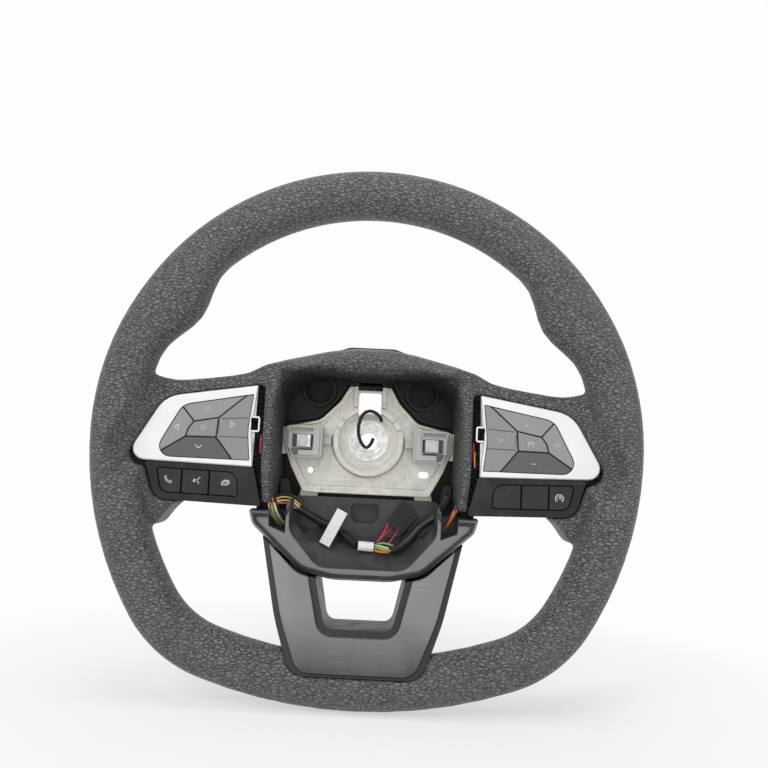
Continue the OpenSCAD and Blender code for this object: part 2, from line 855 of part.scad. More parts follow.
// Seat for the lower spoke in the rim's grip
module spoke_seat() {
    intersection() {
        slab(rounded(shrunk(spoke_corners, -seam)), -40, 80);
        side_slab([
            [-40, -50],
            [-40, spoke_end],
            [foot_y + seam, spoke_end],
            [foot_y + seam, rim_notch - seam],
            [80, rim_notch - seam],
            [80, -50]
        ], -100, 100);
    }
}
module spoke_trim() {
    color(grey) placed() difference() {
        skin([
            at_face(rounded(trim_corners), trim_t),
            at_face(rounded(trim_corners), 0.6),
            at_face(rounded(crest_corners), -trim_crest)
        ]);
        slab(rounded(shrunk(window_corners, -border_w)), -40, 80);
        chin_space(seam);
    }
}
module spoke_trim_base() {
    color(dark) placed() difference() {
        spoke_shell();
        block_y(-far, far, parting_y, far, -far, far);
    }
}
module spoke_trim_back() {
    color(dark) placed() difference() {
        spoke_shell();
        block_y(-far, far, -far, parting_y, -far, far);
    }
}

// Screws

head_r = 4;
head_t = 2.4;
module cover_screws() {
    color(steel) placed() both() for (p = screw_places)
        difference() {
            union() {
                rod(p.x, p.y, head_r, cover_back, cover_back + head_t);
                rod(p.x, p.y, screw_r, p[2], cover_back + 0.5);
            }
            translate([p.x, cover_back + head_t + 1, p.y])
                rotate([90, 0, 0])
                    cylinder(r = 1.8, h = 2.6, $fn = 6);
        }
}

// Switch pods

house_wall = 3.2;
panel_wall = 2;
dome_r = 3.2;
// Corners where the buttons of the pad meet, and where their seams reach the edge
inner_top = [103.6, 10.2];
outer_top = [120.2, 6.8];
outer_mid = [123.8, 2];
outer_low = [125.3, -3.8];
inner_low = [104.7, -3.5];
seam_up_in = [85.1, 27];
seam_up_out = [128.3, 16.4];
seam_low_out = [141.2, -14.5];
seam_low_in = [93.1, -18.2];
function past(a, b, k) = a + (b - a) * k;
far_up_in = past(inner_top, seam_up_in, 1.8);
far_up_out = past(outer_top, seam_up_out, 3);
far_low_out = past(outer_low, seam_low_out, 3);
far_low_in = past(inner_low, seam_low_in, 2);
function plain(P) = local([for (p = P) [p.x, p.y, 0.01]]);
// Outlines of the pad's five buttons, each followed by its stem's place
up_key = [outer_top, far_up_out, far_up_in, inner_top];
outer_key = [outer_top, outer_mid, outer_low, far_low_out, far_up_out];
down_key = [inner_low, far_low_in, far_low_out, outer_low];
inner_key = [inner_low, inner_top, far_up_in, [60, 0], far_low_in];
middle_key = [outer_low, outer_mid, outer_top, inner_top, inner_low];
up_stem = [107, 16];
outer_stem = [132.5, 0.5];
down_stem = [113, -11.5];
inner_stem = [92, 3.5];
middle_stem = [113, 2.5];
// Lower keys, split at two upright seams
key_split = [107.5, 126];
key_stems = [[98, -35.5], [116.7, -35], [133.5, -34]];
stems = concat([up_stem, outer_stem, down_stem, inner_stem, middle_stem], key_stems);
function to_local(p) = flat(local([[p.x, p.y, 0]])[0]);

// Everything inside the housing's back, drawn in by d
module pod_inside(d, y0, y1) {
    intersection() {
        union() {
            slab(rounded(shrunk(bezel_corners, house_wall + d)), y0, y1);
            slab(rounded(shrunk(panel_corners, panel_wall + d)), y0, y1);
            slab(shrunk(plain([[84, -30], [144, -30], [144, -14], [84, -14]]), d), y0, y1);
        }
        deep_part(-house_wall - d);
    }
}
module pod_outside(y0, y1) {
    slab(rounded(shrunk(bezel_corners, 1.2)), y0, y1);
    slab(rounded(panel_corners), y0, y1);
    slab(plain([[79.5, -26], [149, -26], [149, -18], [79.5, -18]]), y0, y1);
}
tab_z = [1.5, 12.5];
module bezel_shape() {
    difference() {
        union() {
            skin([
                at_y(rounded(bezel_corners), bezel_t),
                at_y(rounded(bezel_corners), 0.8),
                at_y(rounded(shrunk(bezel_corners, 0.8)), 0)
            ]);
            slab(rounded(plain_tab(0), 3), 0.8, 3.4);
        }
        slab(rounded(opening_corners), -1, bezel_t + 2);
        slab(rounded(plain_tab(1.2), 3), -1, 5);
    }
}
function plain_tab(d) = local([
    [75.4 + d, tab_z[0] + d, 1.5 - d],
    [81.5, tab_z[0] + d, 0.3],
    [81.5, tab_z[1] - d, 0.3],
    [75.4 + d, tab_z[1] - d, 1.5 - d]
]);
module housing_shape() {
    difference() {
        union() {
            pod_outside(bezel_t, flange_d);
            slab(rounded(panel_corners), panel_y, flange_d);
            intersection() {
                pod_outside(bezel_t, housing_d);
                deep_part(0);
            }
        }
        slab(rounded(opening_corners), -1, deck_y);
        slab(rounded(keys_corners), -1, deck_y);
        pod_inside(0, deck_y + deck_t, housing_d + 1);
        for (p = stems) stem_rod(p, stem_r + slip, 0, housing_d);
    }
}
module stem_rod(p, r, y0, y1) {
    q = to_local(p);
    rod(q.x, q.y, r, y0, y1);
}
post_places = [[88, 12], [134, 8], [86, -40], [138, -36]];
screw_spots = [[87, -14], [140, -12]];
module back_shape() {
    intersection() {
        pod_outside(housing_d, housing_d + lid_t);
        deep_part(0);
    }
    for (p = post_places) stem_rod(p, 1.8, board_y + board_t, housing_d + 0.5);
}
module board_shape() {
    pod_inside(slip, board_y, board_y + board_t);
}
module mat_shape() {
    pod_inside(slip, mat_y, board_y);
    for (p = stems) stem_rod(p, dome_r, dome_y, mat_y + 0.2);
}
// Cap of an outline with its front edge chamfered
key_edge = 0.45;
module key_cap(P, turn, front) {
    skin([
        at_y(turn ? rounded(shrunk(P, button_gap / 2)) : shrunk(P, button_gap / 2), front + cap_t),
        at_y(turn ? rounded(shrunk(P, button_gap / 2)) : shrunk(P, button_gap / 2), front + key_edge),
        at_y(turn ? rounded(shrunk(P, button_gap / 2 + key_edge)) :
            shrunk(P, button_gap / 2 + key_edge), front)
    ]);
}
module key_shape(outline, stem, edge, front) {
    intersection() {
        key_cap(plain(outline), false, front);
        key_cap(edge, true, front);
    }
    stem_rod(stem, stem_r, front + cap_t - 1, stem_end);
}
// Creases across the inner key, and the slot shaped like a lens beside it
crease_lines = [[[101.5, 9.6], [84, 11]], [[103, -2.9], [83, -2.6]]];
crease_w = 0.5;
lens_at = [103.4, 3.2];
lens_half = [1, 4.4];
module pad_marks() {
    for (line = crease_lines) {
        a = to_local(line[0]);
        b = to_local(line[1]);
        translate([a.x, 0, a.y])
            rotate([0, -bearing(b - a), 0])
                translate([0, -1, -crease_w / 2])
                    cube([norm(b - a), 1 + face_drop + 1.2, crease_w]);
    }
    q = to_local(lens_at);
    translate([q.x, 0, q.y])
        scale([lens_half.x, 1, lens_half.y])
            rod(0, 0, 1, -1, face_drop + 1.4);
}
module pad_key(outline, stem) {
    difference() {
        key_shape(outline, stem, opening_corners, face_drop);
        pad_marks();
    }
}
module low_key(i) {
    ends = [60, key_split[0], key_split[1], 180];
    key_shape([[ends[i], -60], [ends[i + 1], -60], [ends[i + 1], -10], [ends[i], -10]],
        key_stems[i], keys_corners, panel_y + face_drop);
}
module right_side() {
    placed() on_pod() children();
}
module left_side() {
    placed() mirror([1, 0, 0]) on_pod() children();
}
module right_bezel() { color(bright) right_side() bezel_shape(); }
module left_bezel() { color(bright) left_side() bezel_shape(); }
module right_switch_housing() { color(dark) right_side() housing_shape(); }
module left_switch_housing() { color(dark) left_side() housing_shape(); }
module right_switch_back() { color(dark) right_side() back_shape(); }
module left_switch_back() { color(dark) left_side() back_shape(); }
module right_circuit_board() { color([0.1, 0.35, 0.2]) right_side() board_shape(); }
module left_circuit_board() { color([0.1, 0.35, 0.2]) left_side() board_shape(); }
module right_switch_mat() { color([0.8, 0.8, 0.78]) right_side() mat_shape(); }
module left_switch_mat() { color([0.8, 0.8, 0.78]) left_side() mat_shape(); }
module right_up_button() { color(cap_grey) right_side() pad_key(up_key, up_stem); }
module right_outer_button() { color(cap_grey) right_side() pad_key(outer_key, outer_stem); }
module right_down_button() { color(cap_grey) right_side() pad_key(down_key, down_stem); }
module right_inner_button() { color(cap_grey) right_side() pad_key(inner_key, inner_stem); }
module right_middle_button() { color(cap_grey) right_side() pad_key(middle_key, middle_stem); }
module left_up_button() { color(cap_grey) left_side() pad_key(up_key, up_stem); }
module left_outer_button() { color(cap_grey) left_side() pad_key(outer_key, outer_stem); }
module left_down_button() { color(cap_grey) left_side() pad_key(down_key, down_stem); }
module left_inner_button() { color(cap_grey) left_side() pad_key(inner_key, inner_stem); }
module left_middle_button() { color(cap_grey) left_side() pad_key(middle_key, middle_stem); }
module left_phone_button() { color(cap_grey) left_side() low_key(2); }
module left_voice_button() { color(cap_grey) left_side() low_key(1); }
module left_display_button() { color(cap_grey) left_side() low_key(0); }
module right_limit_button() { color(cap_grey) right_side() low_key(2); }
module right_blank_caps() {
    color(cap_grey) right_side() {
        low_key(0);
        low_key(1);
    }
}
module switch_screws() {
    color(steel) placed() both() on_pod() for (p = screw_spots)
        stem_rod(p, 2.6, housing_d + lid_t, housing_d + lid_t + screw_head_t);
}

// Clips that hold the airbag module, drawn on the right

clip_front = 33;
clip_corners = [
    [33, -14.3, 1],
    [54, -14.3, 2],
    [57.6, -7, 1.5],
    [58.4, 8.6, 1.5],
    [33, 9.3, 1]
];
latch_x = [40, 51];
latch_z = [-6.7, 2.2];
latch_front = 30;
latch_back = 40;
module clip_shape() {
    difference() {
        union() {
            slab(rounded(clip_corners, 4), clip_front, plate_y);
            slab([[27, -4.1], [34, -4.1], [34, 0.9], [27, 0.9]], clip_front + 4, plate_y);
            slab(rounded([
                [35, -12.6, 0.6],
                [50, -12.6, 0.6],
                [50, -9, 0.6],
                [39, -9, 0.6],
                [38, 6.6, 0.6],
                [35, 6.6, 0.6]
            ], 3), clip_front - 1.4, clip_front + 1);
            slab([[54.8, -8], [57, -8], [57.4, 4], [54.8, 4]], clip_front - 2, clip_front + 1);
        }
        slab([
            [latch_x[0] - slip, latch_z[0] - slip],
            [latch_x[1] + latch_travel + slip, latch_z[0] - slip],
            [latch_x[1] + latch_travel + slip, latch_z[1] + slip],
            [latch_x[0] - slip, latch_z[1] + slip]
        ], 0, latch_back + slip);
        slab([[40, 4.4], [56, 4.4], [56, 7.2], [40, 7.2]], clip_front - 1, clip_front + 2.5);
        slab([
            [40, -8.9],
            [50.3, -8.9],
            [50.3, -13],
            [53.4, -13],
            [55.4, -8.8],
            [54.4, -6.8],
            [54.4, latch_z[0] - slip - 0.6],
            [40, latch_z[0] - slip - 0.6]
        ], clip_front - 1, clip_front + 5);
    }
}
module latch_shape() {
    translate([0, 0, latch_z[0]])
        linear_extrude(latch_z[1] - latch_z[0])
            polygon([
                [latch_x[0], latch_front + 5],
                [latch_x[0] + 1.5, latch_front + 1],
                [latch_x[0] + 4, latch_front],
                [latch_x[1], latch_front],
                [latch_x[1], latch_back],
                [latch_x[0], latch_back]
            ]);
}
module right_airbag_clip() { color([0.62, 0.62, 0.6]) placed() clip_shape(); }
module left_airbag_clip() { color([0.62, 0.62, 0.6]) placed() mirror([1, 0, 0]) clip_shape(); }
module right_clip_latch() { color(steel) placed() latch_shape(); }
module left_clip_latch() { color(steel) placed() mirror([1, 0, 0]) latch_shape(); }

// Harness

module harness_clip_shape() {
    slab(rounded([
        [53.5, -42, 1.5],
        [62.1, -42, 1.5],
        [62.1, -30, 1.5],
        [56.5, -30, 1.5]
    ], 3), 38, foam_back - 1);
}
module right_harness_clip() { color(dark) placed() harness_clip_shape(); }
module left_harness_clip() { color(dark) placed() mirror([1, 0, 0]) harness_clip_shape(); }

// Point on a smooth curve through P, at place t counted in points
function smooth_at(P, t) =
    let (
        n = len(P) - 1,
        k = min(floor(t), n - 1),
        u = t - k,
        a = P[max(k - 1, 0)],
        b = P[k],
        c = P[k + 1],
        d = P[min(k + 2, n)]
    )
    (2 * b + (c - a) * u + (2 * a - 5 * b + 4 * c - d) * u * u
        + (3 * b - a - 3 * c + d) * u * u * u) / 2;
// Tube along a smooth curve through hand-placed points [x, y, z]
module tube(P, r, sides = 8, steps = 3) {
    count = (len(P) - 1) * steps;
    Q = [for (i = [0 : count]) smooth_at(P, i / steps)];
    skin([for (i = [0 : count])
        let (
            d = unit(Q[min(i + 1, count)] - Q[max(i - 1, 0)]),
            s = unit(cross(d, abs(d.y) > 0.9 ? [1, 0, 0] : [0, 1, 0])),
            t = cross(d, s)
        )
        [for (k = [0 : sides - 1])
            Q[i] + r * (s * cos(360 * k / sides) + t * sin(360 * k / sides))]]);
}
sleeve_left = [
    [-56, 34, -45.5], [-50, 38, -50], [-42, 41, -54.5], [-32, 42.5, -60],
    [-22, 42, -64], [-12, 37.5, -70], [-5, 31, -74.3]
];
sleeve_right = [
    [20, 24.5, -76.5], [26, 27, -74], [33, 29, -68], [40, 30, -60],
    [49, 31, -53.5], [55, 29, -46], [59.5, 27, -37]
];
sleeve_r = 2.8;
module harness_sleeve() {
    color(dark) placed() {
        tube(sleeve_left, sleeve_r);
        tube(sleeve_right, sleeve_r);
    }
}
wire_r = 0.8;
module wires(routes, tint) {
    color(tint) placed() for (route = routes)
        tube([for (p = route) [spread(p.x), p.y, p.z]], wire_r, 6);
}
orange_routes = [
    [[-64.8, 20, -47.5], [-63.5, 21, -52], [-61.5, 24, -57], [-58.5, 29, -61.5]],
    [[63.1, 20, -46.8], [61.6, 21, -51], [59.4, 23.5, -56], [56.5, 28, -61]],
    [[75.4, 15.9, -5.5], [75.3, 15.8, -10], [75.9, 17.2, -16]],
    [[8.6, 27.5, -77.2], [13, 26, -78], [18.4, 24.8, -77.6]]
];
white_routes = [
    [[-63, 19.6, -46.9], [-61.7, 20.6, -51.4], [-59.7, 23.6, -56.4], [-56.7, 28.6, -60.9]],
    [[8.6, 30, -73.6], [13, 28.5, -74.4], [18.4, 26.3, -75.4]]
];
red_routes = [
    [[9.5, 31.5, -72.2], [13, 34.5, -68.8], [17, 38.5, -65], [20.5, 41.3, -61.5]],
    [[-74.9, 19, 0], [-74.8, 17.5, -6], [-75, 19, -13]],
    [[74.9, 18.5, 1], [74.7, 17.5, -6], [75, 19, -12]]
];
green_routes = [
    [[8.6, 27.4, -75.2], [13, 24.6, -75.6], [18.2, 23, -76.2]],
    [[-64.8, 18.3, -48.6], [-63.5, 19.3, -53.1], [-61.5, 22.3, -58.1], [-58.5, 27.3, -62.6]]
];
module orange_wires() { wires(orange_routes, [0.9, 0.45, 0.12]); }
module white_wires() { wires(white_routes, [0.9, 0.88, 0.82]); }
module red_wires() { wires(red_routes, [0.8, 0.15, 0.2]); }
module green_wires() { wires(green_routes, [0.45, 0.65, 0.25]); }
module harness_connector() {
    color(dark) placed() translate([26.5, 41.75, -53.5]) rotate([0, 37, 0])
        cube([11, 8, 19], center = true);
}
module harness_tag() {
    color([0.95, 0.95, 0.94]) placed() translate([-21.5, 31, -63]) rotate([0, 26, 0])
        cube([8, 0.6, 27], center = true);
}
module sleeve_label() {
    color([0.93, 0.92, 0.88]) placed() translate([-3.2, 29, -74.6]) rotate([0, 93, 0])
        cylinder(r = 3.4, h = 11, $fn = 32);
}
tie_route = [
    [9, 45.9, 15], [8, 43.8, 17.8], [5, 41.5, 20.5], [0, 41, 22], [-5, 41, 19], [-7.5, 41, 11],
    [-7, 41.5, 3], [-4, 42, -3], [-1, 43, -5], [2, 44, -2], [3.5, 46, 2]
];
module cable_tie() {
    color([0.06, 0.06, 0.06]) placed() tube(tie_route, 1.3, 6, 2);
}

armature();
rim_core();
hub_insert();
rim_grip();
lower_rim_grip();
right_rim_grip();
left_rim_grip();
brow_grip();
right_spoke_grip();
left_spoke_grip();
rear_cover();
lower_cover();
cover_screws();
spoke_trim();
spoke_trim_base();
spoke_trim_back();
right_bezel();
left_bezel();
right_switch_housing();
left_switch_housing();
right_switch_back();
left_switch_back();
right_circuit_board();
left_circuit_board();
right_switch_mat();
left_switch_mat();
switch_screws();
right_up_button();
right_outer_button();
right_down_button();
right_inner_button();
right_middle_button();
left_up_button();
left_outer_button();
left_down_button();
left_inner_button();
left_middle_button();
left_phone_button();
left_voice_button();
left_display_button();
right_limit_button();
right_blank_caps();
right_airbag_clip();
left_airbag_clip();
right_clip_latch();
left_clip_latch();
right_harness_clip();
left_harness_clip();
harness_sleeve();
orange_wires();
white_wires();
red_wires();
green_wires();
harness_connector();
harness_tag();
sleeve_label();
cable_tie();
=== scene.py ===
"""The looks of a bare car steering wheel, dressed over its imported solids.

Every rigid solid is copied, welded and given rounded edges. The foam of the rim
and spokes is drawn as one skin, and the printed marks of the keys are laid on
their faces. Lengths are in metres unless a docstring says mm, and angles are in
degrees.
"""
import json
import logging
import math
from dataclasses import dataclass
from enum import Enum
from typing import Optional, Sequence, Union

import bmesh
import bpy
from mathutils import Matrix, Vector
from mathutils.bvhtree import BVHTree

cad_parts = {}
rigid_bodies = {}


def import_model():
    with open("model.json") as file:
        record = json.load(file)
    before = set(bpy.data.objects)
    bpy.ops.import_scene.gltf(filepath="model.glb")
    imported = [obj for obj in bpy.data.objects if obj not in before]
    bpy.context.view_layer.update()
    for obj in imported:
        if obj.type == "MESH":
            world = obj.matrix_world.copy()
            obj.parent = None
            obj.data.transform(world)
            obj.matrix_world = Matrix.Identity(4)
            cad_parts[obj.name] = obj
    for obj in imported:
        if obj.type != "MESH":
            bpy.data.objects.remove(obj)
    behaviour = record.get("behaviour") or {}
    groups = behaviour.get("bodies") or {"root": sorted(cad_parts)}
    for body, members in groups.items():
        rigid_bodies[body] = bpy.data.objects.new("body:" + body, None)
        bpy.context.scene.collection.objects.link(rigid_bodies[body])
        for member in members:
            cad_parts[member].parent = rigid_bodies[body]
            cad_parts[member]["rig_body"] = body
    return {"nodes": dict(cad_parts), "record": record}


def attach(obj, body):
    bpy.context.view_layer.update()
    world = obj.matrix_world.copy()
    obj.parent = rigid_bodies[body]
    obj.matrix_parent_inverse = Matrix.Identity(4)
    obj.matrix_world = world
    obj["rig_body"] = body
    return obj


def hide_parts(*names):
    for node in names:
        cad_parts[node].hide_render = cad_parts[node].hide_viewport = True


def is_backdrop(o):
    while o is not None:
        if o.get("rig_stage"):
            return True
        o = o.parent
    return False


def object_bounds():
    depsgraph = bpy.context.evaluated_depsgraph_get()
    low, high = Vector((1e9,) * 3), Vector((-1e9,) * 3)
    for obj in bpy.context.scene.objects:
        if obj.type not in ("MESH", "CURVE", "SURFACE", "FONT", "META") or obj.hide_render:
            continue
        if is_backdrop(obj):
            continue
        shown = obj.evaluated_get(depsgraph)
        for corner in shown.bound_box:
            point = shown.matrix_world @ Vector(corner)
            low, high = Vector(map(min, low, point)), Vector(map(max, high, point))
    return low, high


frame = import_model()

Colour = tuple[float, float, float]
Socket = bpy.types.NodeSocket
Number = Union[float, Socket]
Paint = Union[Colour, Socket]
Point = tuple[float, float]
Place = tuple[float, float, float]

MM = 0.001
TINY = 1e-6
RIM_CENTRE_Y = -0.078
log = logging.getLogger("steering_wheel")
SLOT_OF = {row["node"]: row.get("material_slot") for row in frame["record"]["subparts"]}


class Side(Enum):
    """The two halves of the wheel as the driver sees them."""

    RIGHT = 1
    LEFT = -1

    @property
    def word(self) -> str:
        """The side's name as the nodes spell it."""
        return self.name.lower()


class Graph:
    """One material's nodes, added and wired one after another."""

    def __init__(self, name: str) -> None:
        """Starts a node material.

        Args:
            name: the material's name.
        """
        self.material = bpy.data.materials.new(name)
        self.material.use_nodes = True
        self.tree = self.material.node_tree
        self.shader = self.tree.nodes["Principled BSDF"]
        self.place = self.tree.nodes.new("ShaderNodeTexCoord").outputs["Object"]

    def put(self, socket: Socket, value: Union[Number, Paint, Vector]) -> None:
        """Feeds a socket with a value or with another node's output.

        Args:
            socket: the input that is fed.
            value: a number, a colour, a vector or an output.
        """
        if isinstance(value, bpy.types.NodeSocket):
            self.tree.links.new(value, socket)
        elif socket.type == "RGBA":
            socket.default_value = (*value, 1.0)
        else:
            socket.default_value = value

    def stretched(self, scale: Sequence[float], turn: Sequence[float] = (0, 0, 0),
                  where: Optional[Socket] = None) -> Socket:
        """Object coordinates, turned and stretched.

        Args:
            scale: the stretch along X, Y and Z.
            turn: the turn about X, Y and Z in degrees.
            where: the coordinates, or the object's own.

        Returns:
            The vector output.
        """
        node = self.tree.nodes.new("ShaderNodeMapping")
        node.inputs["Scale"].default_value = scale
        node.inputs["Rotation"].default_value = [math.radians(a) for a in turn]
        self.put(node.inputs["Vector"], where or self.place)
        return node.outputs["Vector"]

    def along(self, axis: str) -> Socket:
        """One of the object coordinates.

        Args:
            axis: X, Y or Z.

        Returns:
            The value output, in metres.
        """
        node = self.tree.nodes.new("ShaderNodeSeparateXYZ")
        self.put(node.inputs["Vector"], self.place)
        return node.outputs[axis]

    def noise(self, scale: float, detail: float = 3.0, rough: float = 0.5,
              where: Optional[Socket] = None, warp: float = 0.0) -> Socket:
        """A cloudy pattern from 0 to 1.

        Args:
            scale: patches per metre.
            detail: how many finer layers lie on it.
            rough: the strength of the finer layers.
            where: the coordinates, or the object's own.
            warp: the twist of the patches.

        Returns:
            The value output.
        """
        node = self.tree.nodes.new("ShaderNodeTexNoise")
        self.put(node.inputs["Vector"], where or self.place)
        node.inputs["Scale"].default_value = scale
        node.inputs["Detail"].default_value = detail
        node.inputs["Roughness"].default_value = rough
        node.inputs["Distortion"].default_value = warp
        return node.outputs["Fac"]

    def cells(self, scale: float, where: Socket) -> Socket:
        """A pattern of pebble-like cells, measured from their edges.

        Args:
            scale: cells per metre.
            where: the coordinates.

        Returns:
            The distance output.
        """
        node = self.tree.nodes.new("ShaderNodeTexVoronoi")
        node.feature = "DISTANCE_TO_EDGE"
        self.put(node.inputs["Vector"], where)
        node.inputs["Scale"].default_value = scale
        return node.outputs["Distance"]

    def sum(self, one: Number, two: Number, how: str = "ADD") -> Socket:
        """One sum of two numbers.

        Args:
            one: the first number.
            two: the second number.
            how: the operation's name.

        Returns:
            The value output.
        """
        node = self.tree.nodes.new("ShaderNodeMath")
        node.operation = how
        self.put(node.inputs[0], one)
        self.put(node.inputs[1], two)
        return node.outputs["Value"]

    def times(self, one: Number, two: Number) -> Socket:
        """One number times another."""
        return self.sum(one, two, "MULTIPLY")

    def span(self, value: Socket, low: float, high: float,
             to_low: float = 0.0, to_high: float = 1.0) -> Socket:
        """A value stretched from one range to another and clamped.

        Args:
            value: the output that is stretched.
            low: the value that gives to_low.
            high: the value that gives to_high.
            to_low: the result's one end.
            to_high: the result's other end.

        Returns:
            The value output.
        """
        node = self.tree.nodes.new("ShaderNodeMapRange")
        self.put(node.inputs["Value"], value)
        for name, number in (("From Min", low), ("From Max", high),
                             ("To Min", to_low), ("To Max", to_high)):
            node.inputs[name].default_value = number
        return node.outputs["Result"]

    def mixed(self, share: Number, one: Paint, two: Paint) -> Socket:
        """Two colours mixed.

        Args:
            share: how much of the second colour, from 0 to 1.
            one: the first colour.
            two: the second colour.

        Returns:
            The colour output.
        """
        node = self.tree.nodes.new("ShaderNodeMix")
        node.data_type = "RGBA"
        sockets = [s for s in node.inputs if s.enabled and s.type == "RGBA"]
        self.put(next(s for s in node.inputs if s.enabled and s.name == "Factor"), share)
        self.put(sockets[0], one)
        self.put(sockets[1], two)
        return next(s for s in node.outputs if s.enabled)

    def over(self, base: Paint, cover: Paint, where: Socket, share: Number = 1.0) -> Socket:
        """A colour with another laid over it where a pattern shows."""
        return self.mixed(self.times(where, share), base, cover)

    def hairs(self, scale: float, stretch: Sequence[float], lean: float, low: float = 0.66,
              high: float = 0.70, detail: float = 2.0, rough: float = 0.5) -> Socket:
        """Fine straight scratches.

        Args:
            scale: scratches per metre.
            stretch: the stretch along X, Y and Z; they run along the smallest.
            lean: the turn about Y.
            low: the pattern's value where a scratch begins.
            high: the pattern's value where it is full.
            detail: how many finer layers lie on the pattern.
            rough: the strength of the finer layers.

        Returns:
            The value output, 1 in a scratch.
        """
        lines = self.noise(scale, detail, rough, self.stretched(stretch, (0, lean, 0)))
        return self.span(lines, low, high)

    def warped(self, amount: float, scale: float) -> Socket:
        """Object coordinates pushed about by a cloudy pattern.

        Args:
            amount: the push in metres.
            scale: patches per metre.

        Returns:
            The vector output.
        """
        noise = self.tree.nodes.new("ShaderNodeTexNoise")
        self.put(noise.inputs["Vector"], self.place)
        noise.inputs["Scale"].default_value = scale
        push = self.tree.nodes.new("ShaderNodeVectorMath")
        push.operation = "MULTIPLY_ADD"
        self.put(push.inputs[0], noise.outputs["Color"])
        push.inputs[1].default_value = (amount, amount, amount)
        self.put(push.inputs[2], self.place)
        return push.outputs["Vector"]

    def bump(self, height: Socket, depth: float, under: Optional[Socket] = None) -> Socket:
        """A relief of the surface.

        Args:
            height: the pattern, from 0 to 1.
            depth: the height of a full step in metres.
            under: another relief that it lies on.

        Returns:
            The normal output.
        """
        node = self.tree.nodes.new("ShaderNodeBump")
        self.put(node.inputs["Height"], height)
        node.inputs["Distance"].default_value = depth
        node.inputs["Strength"].default_value = 1.0
        if under is not None:
            self.put(node.inputs["Normal"], under)
        return node.outputs["Normal"]

    def finish(self, colour: Paint, rough: Number, normal: Optional[Socket] = None,
               **fixed: float) -> None:
        """Wires the shader.

        Args:
            colour: the base colour.
            rough: the roughness.
            normal: the relief.
            fixed: other inputs that are the same all over, with _ for a space.
        """
        self.put(self.shader.inputs["Base Color"], colour)
        self.put(self.shader.inputs["Roughness"], rough)
        if normal is not None:
            self.put(self.shader.inputs["Normal"], normal)
        for name, value in fixed.items():
            self.put(self.shader.inputs[name.replace("_", " ")], value)


@dataclass(frozen=True)
class Finish:
    """A surface of the wheel. Each kind of surface fills in paint."""

    name: str
    colour: Colour
    roughness: float = 0.5

    def material(self) -> bpy.types.Material:
        """The finish as a material, made once.

        Returns:
            The material.
        """
        made = bpy.data.materials.get(f"look_{self.name}")
        if made is None:
            graph = Graph(f"look_{self.name}")
            self.paint(graph)
            made = graph.material
        return made

    def paint(self, graph: Graph) -> None:
        """Adds the surface's nodes; each kind of surface has its own."""
        raise NotImplementedError

    def shade(self, factor: float) -> Colour:
        """The colour, lighter or darker by a factor."""
        return tuple(min(1.0, c * factor) for c in self.colour)

    def faded(self, share: float, pale: float) -> Colour:
        """A share of the colour with some white added."""
        return tuple(share * c + pale for c in self.colour)


@dataclass(frozen=True)
class PebbledFoam(Finish):
    """Soft moulded foam with a pebble grain, with painted shade in the airbag's recess."""

    grains_per_metre: float = 520.0
    wrinkles_per_metre: float = 720.0
    pores_per_metre: float = 5200.0
    patches_per_metre: float = 34.0
    grain_stretch: Place = (0.5, 0.6, 1.0)
    grain_lean: float = -5.0
    grain_share: float = 0.66
    grain_depth: float = 0.0010
    pore_depth: float = 0.0001
    waviness: float = 0.0026
    waves_per_metre: float = 260.0
    # The grain's creases are darkened and its crests lightened in colour: painted shade and painted
    # highlight.
    crease: float = 0.16
    crest: float = 1.34
    # worn lightens the colour in patches: a painted sheen on patches of wear.
    worn: float = 1.5
    worn_share: float = 0.16
    shine: float = 0.36
    recess_half: float = 0.066
    recess_top: float = 0.050
    recess_foot: float = -0.088
    recess_blend: float = 0.005
    foot_blend: float = 0.004
    # recess_shade and the near-black colour below paint shade into the recess.
    recess_shade: float = 0.12
    recess_colour: Colour = (0.004, 0.004, 0.004)

    def paint(self, graph: Graph) -> None:
        """Adds pebbles, wrinkles, pores, painted shade in the creases with a painted highlight on the
        crests, a patchy painted sheen, and painted shade in the recess.

        Args:
            graph: the material's nodes.
        """
        wavy = graph.stretched(self.grain_stretch, (0, self.grain_lean, 0),
                               graph.warped(self.waviness, self.waves_per_metre))
        pebbles = graph.span(graph.cells(self.grains_per_metre, wavy), 0.0, 0.22)
        wrinkles = graph.span(graph.noise(self.wrinkles_per_metre, 1.0, 0.5, wavy), 0.36, 0.62)
        relief = graph.sum(graph.times(pebbles, self.grain_share),
                           graph.times(wrinkles, 1.0 - self.grain_share))
        pores = graph.noise(self.pores_per_metre, 2.0, 0.6)
        normal = graph.bump(pores, self.pore_depth, graph.bump(relief, self.grain_depth))
        patches = graph.noise(self.patches_per_metre, 4.0, 0.55)
        # Painted shade in the grain's creases and a painted highlight on its crests.
        grain_shading = graph.mixed(relief, self.shade(self.crease), self.shade(self.crest))
        # Lighter patches: a painted sheen on worn patches.
        colour = graph.mixed(graph.span(patches, 0.35, 0.75, 0.0, self.worn_share),
                             grain_shading, self.shade(self.worn))
        # Painted shade: the recess is darkened towards a near-black colour.
        colour = graph.over(colour, self.recess_colour, self.inside(graph), 1.0 - self.recess_shade)
        rough = graph.span(patches, 0.3, 0.7, self.roughness - 0.07, self.roughness + 0.08)
        graph.finish(colour, rough, normal, Specular_IOR_Level=self.shine)

    def inside(self, graph: Graph) -> Socket:
        """Finds the recess, where shade is painted, by its place across and up the wheel.

        Args:
            graph: the material's nodes.

        Returns:
            The value output, 1 in the recess.
        """
        height = graph.along("Z")
        across = graph.span(graph.sum(graph.along("X"), 0.0, "ABSOLUTE"),
                            self.recess_half, self.recess_half - self.recess_blend)
        below = graph.span(height, self.recess_top, self.recess_top - self.recess_blend)
        above = graph.span(height, self.recess_foot - self.foot_blend, self.recess_foot)
        return graph.times(graph.times(across, below), above)


